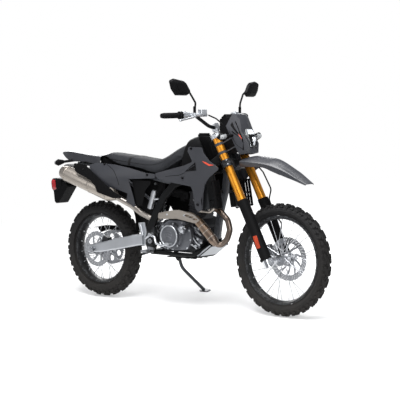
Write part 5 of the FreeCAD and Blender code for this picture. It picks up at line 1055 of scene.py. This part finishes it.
CLUTCH_AT = Matrix.Translation((-31, -162, 458)) @ FACE_RIGHT
PUMP_AT = Matrix.Translation((67, -152, 505)) @ FACE_RIGHT
engine_trim = bmesh.new()
lathe(engine_trim, [(62, -3), (62, 0.6), (63.5, 2.2), (70, 2.2), (71.5, 0.6), (71.5, -3)], CLUTCH_AT, 72,
      closed=True)
lathe(engine_trim, [(0, -2), (20, -2), (20, 3), (17, 5), (8, 6), (7, 8), (0, 8)], PUMP_AT, 40)
place("engine_trim", engine_trim, "bright_alloy", "root")
clutch_face = bmesh.new()
lathe(clutch_face, [(0, -4), (58, -4), (58, 0.4), (56, 1.2), (30, 1.2), (28, 2.6), (0, 2.6)], CLUTCH_AT, 64)
for k in range(3):
    drop = 17 * k
    tube(clutch_face, [(-62 + 4 * k, -164.4, 486 - drop), (-30, -164.6, 489 - drop),
                       (-8, -164.4, 478 - drop)], 2.4, 8, 4)
place("clutch_face", clutch_face, "cast_alloy", "root")


# Cowl and lamp

SLASH = [(421, 1184), (416, 1166), (441, 1133), (461, 1110), (472, 1102), (460, 1121), (448, 1137),
         (435, 1157)]
DASH = [(426, 1131), (431, 1121), (456, 1104), (465, 1094), (453, 1114), (438, 1123)]
CREASE_SHADE_LINE = [(409, 1133), (432, 1090), (452, 1051), (474, 1033), (498, 1016)]
FLAME = [(461, 1112), (476, 1092), (493, 1071), (488, 1082), (471, 1104)]
LAMP_RIM = [(-31, 1106), (31, 1106), (34, 1085), (27, 1046), (13, 1034), (-13, 1034), (-27, 1046),
            (-34, 1085)]
LAMP_PAINTED_HIGHLIGHT = [(-22, 1138), (22, 1138), (32, 1112), (-32, 1112)]
# The slash and dash are printed stripes; the black strip along the crease is painted shade in the crease.
skins("cowl_stripes", "black_plastic", "steering",
      (panel, "headlamp_mask", "right left", SLASH, 2.2, 3.4, 2.0, 5.0),
      (panel, "headlamp_mask", "right left", DASH, 2.2, 3.4, 1.0, 5.0),
      (strip, "headlamp_mask", "right left", CREASE_SHADE_LINE, 2.0, 0.8, 1.8))
skins("cowl_flames", "stripe_red", "steering",
      (panel, "headlamp_mask", "right left", FLAME, 2.8, 3.8, 0.6, 5.0))
skins("lamp_surround", "black_plastic", "steering",
      (panel, "headlamp", "front", LAMP_RIM, 1.0, 3.0, 6.0, 8.0))
# The pale panel over the lamp's upper lens is a painted highlight, standing for the white reflection on its clear
# cover.
skins("lamp_highlight", "lamp_white", "steering",
      (panel, "headlamp", "front", LAMP_PAINTED_HIGHLIGHT, 1.4, 3.0, 4.0, 8.0))

projector = bmesh.new()
projector_ring = bmesh.new()
for z, radius in ((1076, 16.0), (1050, 9.0)):
    point, _ = seen_point("headlamp", "front", 0, z)
    facing = Matrix.Translation(point) @ Matrix.Rotation(math.pi / 2, 4, "Y")
    dome = [polar(radius, math.pi / 2 * k / 6) for k in range(6)]
    lathe(projector, [(0, -2)] + [(p.x, 1 + p.y * 0.5) for p in dome] + [(0, 1 + radius * 0.5)], facing, 32)
    lathe(projector_ring, [(radius - 0.4, -3), (radius - 0.4, 3), (radius + 1.2, 4), (radius + 3, 3),
                           (radius + 3, -3)], facing, 40, closed=True)
place("projector_lenses", projector, "lamp_white", "steering")
place("projector_rings", projector_ring, "chrome_steel", "steering")


# Shrouds, reflectors, lamps and signals

WINDOW = [(112, 874), (196, 935), (214, 884)]
STRIPE = [(257, 943), (291, 938), (325, 926), (371, 921), (327, 915), (279, 932)]
REFLECTOR = [(624, 492), (646, 500), (678, 428), (656, 419)]
TAIL_SIDE = [(-1201, 783), (-1160, 779), (-1148, 716), (-1184, 708)]
TAIL_BACK = [(-45, 781), (45, 781), (45, 709), (-45, 709)]
FRONT_GLASS = [(152, 1078), (206, 1080), (212, 1093), (206, 1107), (152, 1112)]
REAR_GLASS = [(150, 890), (202, 892), (207, 905), (202, 918), (150, 922)]
skins("shroud_windows", "black_plastic", "root",
      (panel, "shrouds", "right left", WINDOW, 1.8, 3.0, 4.0, 7.0))
skins("shroud_stripes", "stripe_red", "root",
      (panel, "shrouds", "right left", STRIPE, 1.6, 2.6, 1.5, 10.0))
skins("fork_reflectors", "orange_lens", "steering",
      (panel, "fork_guards", "right left", REFLECTOR, 3.0, 5.0, 4.0, 8.0))
skins("tail_lens", "red_lens", "root",
      (panel, "tail_lamp", "right left", TAIL_SIDE, 1.6, 3.2, 4.0, 8.0),
      (panel, "tail_lamp", "back", TAIL_BACK, 1.8, 3.6, 8.0, 9.0))
skins("front_signal_glass", "smoke_lens", "steering",
      (panel, "front_signals", "front", mirrored(FRONT_GLASS), 1.5, 5.0, 5.0, 6.0),
      (panel, "front_signals", "front", FRONT_GLASS, 1.5, 5.0, 5.0, 6.0))
skins("rear_signal_glass", "smoke_lens", "root",
      (panel, "rear_signals", "back", mirrored(REAR_GLASS), 1.5, 5.0, 5.0, 6.0),
      (panel, "rear_signals", "back", REAR_GLASS, 1.5, 5.0, 5.0, 6.0))


# Fork tubes and rear mudguard

def make_fork_tubes():
    """Turned tubes with their wiper, dust cap and top bolt."""
    tubes = bmesh.new()
    wipers = bmesh.new()
    caps = bmesh.new()
    low = FORK_LOW
    top = FORK_TOP
    for side, _ in SIDES:
        placing = aimed(at_fork(FORK_OFFSET, side * FORK_HALF, 0), STEER_UP)
        lathe(tubes, [(0, low), (FORK_R - 1.2, low), (FORK_R, low + 1.2), (FORK_R, top - 1.2),
                      (FORK_R - 1.2, top), (0, top)], placing, 64)
        lathe(wipers, [(FORK_R - 1, low - 3), (FORK_R + 1.6, low - 3), (FORK_R + 2.6, low - 1),
                       (FORK_R + 2.6, low + 9), (FORK_R + 1.2, low + 12), (FORK_R - 1, low + 12)],
              placing, 64, closed=True)
        lathe(caps, [(0, top - 2), (FORK_R - 4, top - 2), (FORK_R - 4, top + 4), (FORK_R - 6, top + 6),
                     (0, top + 6)], placing, 48)
        lathe(caps, [(0, top + 4), (11, top + 4), (11, top + 10), (9.5, top + 11.5), (0, top + 11.5)],
              placing, 6)
    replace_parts(place("fork_outer_tubes", tubes, "gold_anodised", "steering"), "fork_tubes")
    place("fork_wipers", wipers, "black_rubber", "steering")
    place("fork_caps", caps, "black_frame", "steering")


make_fork_tubes()
MUDGUARD_LINE = [(-384, 470), (-391, 560), (-428, 640), (-498, 702), (-590, 748), (-700, 792), (-820, 838),
                 (-930, 872), (-1060, 893)]
mudguard = bmesh.new()
ribbon(mudguard, MUDGUARD_LINE, 66.0, 3.0, 6, 9.0)
place("rear_mudguard", mudguard, "black_plastic", "root")


# Black plates and bars of painted shade, filling the gaps inside the machine and the cowl

UNDER_SEAT_SHADE = [(-700, 948), (-604, 932), (-514, 903), (-362, 884), (-230, 860), (-150, 852), (-136, 790),
        (-168, 716), (-214, 640), (-250, 560), (-300, 540), (-352, 560), (-420, 610), (-520, 660),
        (-620, 700), (-700, 780)]
BEHIND_ENGINE_SHADE = [(-196, 850), (60, 866), (112, 800), (30, 786), (20, 612), (-60, 592), (-170, 590),
               (-204, 640)]
UNDER_TANK_SHADE = [(-70, 870), (60, 912), (240, 905), (262, 800), (238, 700), (210, 700), (192, 792), (100, 800),
             (-20, 790)]
MASK_SIDE_SHADE = [(312, 1205), (400, 1216), (436, 1190), (494, 1076), (500, 1014), (430, 990), (352, 992),
              (312, 1080)]
MASK_INSIDE_SHADE = [(330, 1186), (392, 1190), (452, 1090), (470, 1020), (402, 1000), (345, 1040)]
shade_fill = bmesh.new()
side_plates(shade_fill, UNDER_SEAT_SHADE, 76.4, 78.6, 14.0, 0.5)
side_plates(shade_fill, UNDER_TANK_SHADE, 52.0, 56.0, 12.0, 0.8)
for y in (-84, -40, 40, 84):
    tube(shade_fill, [(-610, y, 868), (-520, y, 800), (-440, y, 740), (-380, y, 640)], 3.5, 8, 5)
plate(shade_fill, BEHIND_ENGINE_SHADE, 56.0, 59.0, 12.0, 0.8)
place("inner_panels", shade_fill, "black_plastic", "root")
# Black plates of painted shade inside the cowl.
mask_inner = bmesh.new()
side_plates(mask_inner, MASK_SIDE_SHADE, 68.0, 72.0, 10.0, 0.8)
plate(mask_inner, MASK_INSIDE_SHADE, -68, 68, 10.0, 1.0)
place("mask_inner", mask_inner, "black_plastic", "steering")


# Engine dressing

hoses = bmesh.new()
for route, radius, sides in (
        ([(86, -150, 512), (118, -158, 530), (176, -150, 566), (232, -128, 606), (268, -112, 648)],
         11.0, 16),
        ([(196, -40, 742), (222, -64, 770), (238, -96, 812), (262, -112, 846)], 11.0, 16),
        ([(-118, -96, 560), (-128, -108, 620), (-96, -104, 690), (-40, -88, 742)], 5.0, 10),
        ([(-152, -100, 470), (-176, -108, 520), (-160, -112, 600), (-176, -104, 700)], 4.0, 10)):
    tube(hoses, route, radius, sides, 6)
place("coolant_pipes", hoses, "black_rubber", "root")

hose_clamps = bmesh.new()
for start, end in (((98, -154, 519), (106, -156, 524)), ((257, -116, 636), (262, -114, 642))):
    rod(hose_clamps, start, end, 12.4, 28)
place("hose_clamps", hose_clamps, "steel", "root")

case_ribs = bmesh.new()
for start, end in (((100, 540), (176, 470)), ((116, 470), (196, 436)), ((112, 430), (176, 392)),
                   ((-128, 540), (-170, 470)), ((60, 560), (140, 548))):
    middle = [(a + b) / 2 for a, b in zip(start, end)]
    tube(case_ribs, [(start[0], -98, start[1]), (middle[0], -97, middle[1]), (end[0], -96, end[1])],
         5.5, 8, 2)
for x, z, radius in ((150, 500, 20), (172, 430, 15), (62, 420, 17)):
    lathe(case_ribs, [(0, 0), (radius, 0), (radius, 9), (radius - 2, 11), (radius * 0.55, 11),
                      (radius * 0.5, 8), (0, 8)], Matrix.Translation((x, -90, z)) @ FACE_RIGHT, 32)
place("case_ribs", case_ribs, "cast_alloy", "root")

case_bright = bmesh.new()
for path in ([(96, -99, 476), (126, -104, 452), (150, -104, 424), (178, -99, 404)],
             [(132, -99, 520), (160, -104, 492), (188, -99, 470)],
             [(80, -118, 392), (104, -116, 412), (128, -110, 404), (150, -99, 384)],
             [(-160, -96, 404), (-140, -100, 386), (-96, -104, 374)]):
    tube(case_bright, path, 4.6, 10, 5)
for x, y, z, radius in ((118, -97, 462, 9), (158, -95, 446, 8), (186, -94, 424, 7), (140, -95, 400, 10),
                        (168, -94, 514, 9)):
    rod(case_bright, (x, y + 6, z), (x, y - 9, z), radius, 18, 1.0)
place("case_bright", case_bright, "bright_alloy", "root")

SKID_SIDE = [(150, 334), (205, 372), (255, 408), (246, 412), (196, 380), (140, 338)]
SKID_FACE = [(-80, 402), (80, 402), (80, 336), (-80, 336)]
skins("skid_front", "bright_alloy", "root",
      (panel, "skid_plate", "right left", SKID_SIDE, 1.2, 3.0, 2.0, 8.0),
      (panel, "skid_plate", "front", SKID_FACE, 1.2, 2.4, 6.0, 14.0))


# Exhaust bands

def bands_on(shape, start, end, radius, bands, thick):
    """Flat hoops round a straight pipe. Each band: how far along it lies, and its width."""
    along = (end - start).normalized()
    for distance, width in bands:
        half = width / 2
        lathe(shape, [(radius - 1, -half), (radius + thick * 0.6, -half), (radius + thick, -half * 0.6),
                      (radius + thick, half * 0.6), (radius + thick * 0.6, half), (radius - 1, half)],
              aimed(start + along * distance, along), 56, closed=True)


muffler_length = (MUFFLER_BACK - MUFFLER_FRONT).length
pipe_bands = bmesh.new()
bands_on(pipe_bands, MUFFLER_FRONT, MUFFLER_BACK, MUFFLER_R,
         [(74.0, 8.0), (240.0, 20.0), (muffler_length - 50.0, 9.0)], 1.8)
bands_on(pipe_bands, CHAMBER_LOW, CHAMBER_HIGH, CHAMBER_R, [(26.0, 4.0), (74.0, 4.0), (118.0, 4.0)], 1.6)
place("pipe_bands", pipe_bands, "muffler_steel", "root")


# Handlebar dressing and mirrors

grip_ring = bmesh.new()
lathe(grip_ring, [(16.0, -2.2), (17.6, -1.4), (17.9, 0), (17.6, 1.4), (16.0, 2.2)], HERE, 28, closed=True)
ring_spots = []
switches = bmesh.new()
for side, _ in SIDES:
    mirror = Vector((1, side, 1))
    end = GRIP_OUTER * mirror
    along = (GRIP_INNER * mirror - end).normalized()
    ahead = (Vector((1, 0, 0)) - along * along.x).normalized()
    ring_spots += [aimed(end + along * (6 + 7.4 * k), along) for k in range(14)]
    rod(switches, end + along * 128, end + along * 166, 23.5, 28, 2.0)
    button = end + along * 142
    rod(switches, button - ahead * 14 + Vector((0, 0, 12)), button - ahead * 30 + Vector((0, 0, 16)),
        5.0, 14)
    button = end + along * 156
    rod(switches, button - ahead * 14, button - ahead * 29, 6.0, 14)
repeated("grip_ribs", grip_ring, ring_spots, "black_rubber", "steering")
place("switch_housings", switches, "black_plastic", "steering")

MIRROR_FACE = [(MIRROR_Y + y, MIRROR_Z + z) for y, z in MIRROR_EDGE]
MIRROR_BACK = [(MIRROR_Y + y * 0.62, MIRROR_Z + z * 0.58) for y, z in MIRROR_EDGE]
DIAL_GLASS = [(-46, 1218), (46, 1218), (46, 1150), (-46, 1150)]
skins("mirror_glass", "chrome_steel", "steering",
      (panel, "mirrors", "back", mirrored(MIRROR_FACE), 0.8, 2.0, 9.0, 12.0),
      (panel, "mirrors", "back", MIRROR_FACE, 0.8, 2.0, 9.0, 12.0))
skins("instrument_glass", "clear_lens", "steering",
      (panel, "instrument", "back", DIAL_GLASS, 1.2, 3.0, 8.0, 12.0))


# Seat

def plain_mesh(piece):
    """The piece's mesh with its modifiers' work in it, and the modifiers gone."""
    made = bpy.data.meshes.new_from_object(piece.evaluated_get(bpy.context.evaluated_depsgraph_get()))
    piece.modifiers.clear()
    piece.data = made
    return made


def swell(seat):
    """Blows the cover up a little and holds back what would leave its place."""
    started = [v.co.copy() for v in seat.data.vertices]
    facing = [v.normal.copy() for v in seat.data.vertices]
    cloth = seat.modifiers.new("cloth", "CLOTH")
    cloth.settings.quality = 5
    cloth.settings.use_pressure = True
    cloth.settings.uniform_pressure_force = 4.0
    cloth.settings.effector_weights.gravity = 0.0
    cloth.collision_settings.use_collision = False
    cloth.point_cache.frame_start = 1
    cloth.point_cache.frame_end = SEAT_FRAMES
    for moment in range(1, SEAT_FRAMES + 1):
        bpy.context.scene.frame_set(moment)
    mesh = plain_mesh(seat)
    bpy.context.scene.frame_set(1)
    for vertex, start, normal in zip(mesh.vertices, started, facing):
        most = SEAT_SWELL if normal.z > -0.3 else SEAT_UNDERSIDE_SWELL
        moved = vertex.co - start
        if moved.length > most:
            vertex.co = start + moved.normalized() * most


def make_seat():
    """The padded seat, simulated from the solid that it stands for."""
    source = frame["nodes"]["seat"]
    shape = bmesh.new()
    shape.from_mesh(source.data)
    shape.transform(source.matrix_world)
    bmesh.ops.remove_doubles(shape, verts=shape.verts, dist=0.0001)
    seat = add_object("soft_seat", mesh_of("soft_seat", shape))
    remesh = seat.modifiers.new("remesh", "REMESH")
    remesh.mode = "VOXEL"
    remesh.voxel_size = SEAT_VOXEL
    relax = seat.modifiers.new("relax", "SMOOTH")
    relax.factor = 0.5
    relax.iterations = 5
    plain_mesh(seat)
    swell(seat)
    finer = seat.modifiers.new("finer", "SUBSURF")
    finer.levels = 1
    finer.render_levels = 1
    plain_mesh(seat)
    seat.data.materials.clear()
    seat.data.materials.append(FINISH["seat_cover"])
    seat.data.polygons.foreach_set("use_smooth", [True] * len(seat.data.polygons))
    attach(seat, "root")
    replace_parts(seat, "seat")
    return seat


SEAT_SEAM = [(24, 1024), (-8, 1000), (-73, 958), (-143, 923), (-230, 907), (-362, 917), (-514, 932),
             (-600, 941), (-640, 946)]
seat = make_seat()
seat_strap = bmesh.new()
stations = [("right", -400, 902), ("right", -404, 912), ("right", -408, 922)]
stations += [("top", -424 + 14 * (y / 120) ** 2, y) for y in range(-108, 109, 12)]
stations += [("left", -408, 922), ("left", -404, 912), ("left", -400, 902)]
drape(seat_strap, seat, stations, 9.0)
place("seat_strap", seat_strap, "black_rubber", "root")
seams = bmesh.new()
for _, view in SIDES:
    strip(seams, seat, view, SEAT_SEAM, 3.4, 1.2, 3.0)
drape(seams, seat, [("top", -236, y) for y in range(-104, 105, 13)], 1.7, 1.0)
place("seat_seams", seams, "black_rubber", "root")


# Joints and louvres of the body

PANEL_JOINT = [(-584, 906), (-508, 866), (-471, 811), (-460, 770)]
SHROUD_JOINT = [(112, 868), (60, 850), (10, 846), (-60, 838)]
LOUVRE_AREA = [(296, 762), (371, 842), (380, 656), (280, 650), (268, 700)]
skins("panel_joints", "black_plastic", "root",
      (strip, "side_panels", "right left", PANEL_JOINT, 3.0, 0.5, 1.6),
      (strip, "shrouds", "right left", SHROUD_JOINT, 2.6, 0.5, 1.6))
louvre_lines = []
for share in (0.16, 0.36, 0.56, 0.76):
    top = Vector(LOUVRE_AREA[0]).lerp(Vector(LOUVRE_AREA[1]), share)
    foot = Vector(LOUVRE_AREA[3]).lerp(Vector(LOUVRE_AREA[2]), share)
    louvre_lines.append([top - Vector((0, 10)), top.lerp(foot, 0.5), foot + Vector((0, 8))])
# A black panel under the louvre bars, painted shade in the openings between them.
skins("louvre_windows", "black_plastic", "root",
      (panel, "shrouds", "right left", LOUVRE_AREA, 0.9, 2.4, 5.0, 12.0))
skins("louvre_bars", "grey_frame", "root",
      *[(strip, "shrouds", "right left", line, 4.0, 2.6, 3.0) for line in louvre_lines])


# Front mudguard

def make_fender():
    """A crowned mudguard with a shoulder crease each side and a blunt pointed tip."""
    shape = bmesh.new()
    rings = []
    for x, low_y, low_z, mid_y, mid_z, top_z in smooth_path(FENDER_ROWS, 7):
        outer = [(-low_y, low_z), (-mid_y, mid_z - 2.0)]
        for k in range(-9, 10):
            share = k / 9.4
            outer.append((mid_y * share, mid_z + (top_z - mid_z) * (1 - share ** 2)))
        outer += [(mid_y, mid_z - 2.0), (low_y, low_z)]
        inner = [(y * (1 - FENDER_SHEET / mid_y), z - (FENDER_SHEET if abs(y) < mid_y * 0.98 else 0.0))
                 for y, z in outer]
        ring = []
        for y, z in outer + inner[::-1]:
            reach = FENDER_TIP - FENDER_CORNER * min(abs(y) / 50.0, 1.0) - FENDER_BACK
            along = FENDER_BACK + (x - FENDER_BACK) * reach / (FENDER_ROWS[-1][0] - FENDER_BACK)
            ring.append(shape.verts.new((along, y, z)))
        rings.append(ring)
    for one, two in zip(rings, rings[1:]):
        join_rings(shape, one, two)
    for ring in (rings[0], rings[-1]):
        for k in range(len(ring) // 2 - 1):
            shape.faces.new((ring[k], ring[k + 1], ring[-2 - k], ring[-1 - k]))
    plate(shape, [(-18, -42), (130, -42), (130, 42), (-18, 42)], 645.6, 652.2, 6.0, 0.8,
          Matrix.Translation(STEER_FOOT) @ axes(STEER_FORWARD, ACROSS, STEER_UP))
    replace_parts(place("front_mudguard", shape, "grey_plastic", "steering"), "front_fender")


make_fender()


# Clamp bolts, axle nuts, mirror backs and caliper bolts

clamp_spots = []
for side, view in SIDES:
    for node, s in (("low_clamp", 662), ("low_clamp", 690), ("top_clamp", 850), ("top_clamp", 870)):
        at = at_fork(46, side * FORK_HALF, s)
        clamp_spots.append(aimed(*seen_point(node, view, at.x, at.z), 5.0))
repeated("clamp_bolts", cap_bolt(), clamp_spots, "steel", "steering")
for name, axle, reach, body in (("front_axle_nuts", FRONT_AXLE, 128.5, "steering"),
                                ("rear_axle_nuts", REAR_AXLE, 133.5, "root")):
    nuts = bmesh.new()
    for side, _ in SIDES:
        facing = Matrix.Rotation(-side * math.pi / 2, 4, "X")
        turn = Matrix.Translation(axle + ACROSS * (side * reach)) @ facing
        lathe(nuts, [(0, -3), (17, -3), (17, -0.6), (16.4, 0), (0, 0)], turn, 32)
        lathe(nuts, [(0, -1), (13, -1), (13, 6), (11.4, 7.4), (7, 7.4), (6, 6.4), (0, 6.4)], turn, 6)
    place(name, nuts, "steel", body)
skins("mirror_backs", "black_plastic", "steering",
      (panel, "mirrors", "front", mirrored(MIRROR_BACK), 1.6, 3.2, 6.0, 9.0),
      (panel, "mirrors", "front", MIRROR_BACK, 1.6, 3.2, 6.0, 9.0))
bolts_on("caliper_bolts", cap_bolt, "front_caliper", "left",
         [(586, 350), (586, 408), (650, 352), (650, 410)], 4.6, "steel", "steering")
make_copies()


# Floor, light and camera

WHITE = (1.0, 1.0, 1.0, 1.0)


def floor_material():
    """Pale floor that takes the shadow near the machine and fades to white further off."""
    material, tree, shader, place = start_material("studio_floor")
    fill(tree, shader, {"Base Color": (0.86, 0.86, 0.86, 1.0), "Roughness": 0.9, "Specular IOR Level": 0.1})
    away = add_node(tree, "ShaderNodeVectorMath", {0: place}, operation="LENGTH").outputs["Value"]
    fade = ramp_node(tree, math_node(tree, "DIVIDE", away, 4.0), [(0.35, 0.35), (0.9, 1.0)])
    rays = add_node(tree, "ShaderNodeLightPath", {}).outputs
    seen = math_node(tree, "MAXIMUM", rays["Is Camera Ray"], rays["Is Glossy Ray"])
    seen = math_node(tree, "MAXIMUM", seen, rays["Is Transmission Ray"])
    white = add_node(tree, "ShaderNodeEmission", {"Color": WHITE})
    mixed = add_node(tree, "ShaderNodeMixShader", {0: math_node(tree, "MULTIPLY", fade, seen),
                                                   1: shader.outputs[0], 2: white.outputs[0]})
    fill(tree, tree.nodes["Material Output"], {"Surface": mixed.outputs[0]})
    return material


def make_floor():
    mesh = bpy.data.meshes.new("floor")
    corners = [(-1, -1), (1, -1), (1, 1), (-1, 1)]
    mesh.from_pydata([(a * FLOOR_REACH, b * FLOOR_REACH, 0.0) for a, b in corners], [], [(0, 1, 2, 3)])
    mesh.materials.append(floor_material())
    add_object("floor", mesh)


def make_world():
    """Soft cool light from all round, behind a white background."""
    world = bpy.data.worlds.new("studio")
    bpy.context.scene.world = world
    world.use_nodes = True
    tree = world.node_tree
    soft = fill(tree, tree.nodes["Background"], {"Color": (0.93, 0.95, 1.0, 1.0), "Strength": 0.36})
    white = add_node(tree, "ShaderNodeBackground", {"Color": WHITE})
    rays = add_node(tree, "ShaderNodeLightPath", {})
    mixed = add_node(tree, "ShaderNodeMixShader", {0: rays.outputs["Is Camera Ray"], 1: soft.outputs[0],
                                                   2: white.outputs[0]})
    fill(tree, tree.nodes["World Output"], {"Surface": mixed.outputs[0]})


def softbox(name, at, toward, width, height, power):
    """A soft lamp at a point beside the upright machine, turned towards another."""
    lamp = bpy.data.lights.new(name, "AREA")
    lamp.shape = "RECTANGLE"
    lamp.size = width
    lamp.size_y = height
    lamp.energy = power
    holder = add_object(name, lamp)
    holder.location = STANCE @ Vector(at)
    holder.rotation_euler = (STANCE @ Vector(toward) - holder.location).to_track_quat("-Z", "Y").to_euler()


def make_camera():
    level = math.cos(CAMERA_ABOVE)
    back = Vector((math.sin(CAMERA_ROUND) * level, -math.cos(CAMERA_ROUND) * level, math.sin(CAMERA_ABOVE)))
    right = Vector((0.0, 0.0, 1.0)).cross(back).normalized()
    turned = axes(right, back.cross(right), back) @ Matrix.Rotation(CAMERA_ROLL, 4, "Z")
    data = bpy.data.cameras.new("camera")
    data.sensor_width = SENSOR_MM
    data.lens = SENSOR_MM * FOCAL_PIXELS / PICTURE_PIXELS
    camera = add_object("camera", data)
    camera.matrix_world = Matrix.Translation(STANCE @ CAMERA_AT) @ Matrix.Rotation(-LEAN, 4, "X") @ turned
    bpy.context.scene.camera = camera


make_floor()
make_world()
softbox("over_lamp", (400, -900, 3600), (0, 0, 600), 3.4, 2.2, 320.0)
softbox("front_lamp", (3600, -2600, 2000), (200, 0, 600), 2.2, 2.2, 80.0)
softbox("side_lamp", (-1800, -3600, 1800), (-200, 0, 600), 2.4, 1.8, 24.0)
softbox("rear_lamp", (-2600, 2600, 2400), (0, 0, 700), 2.4, 1.8, 90.0)
make_camera()
bpy.context.scene.view_settings.view_transform = "Standard"
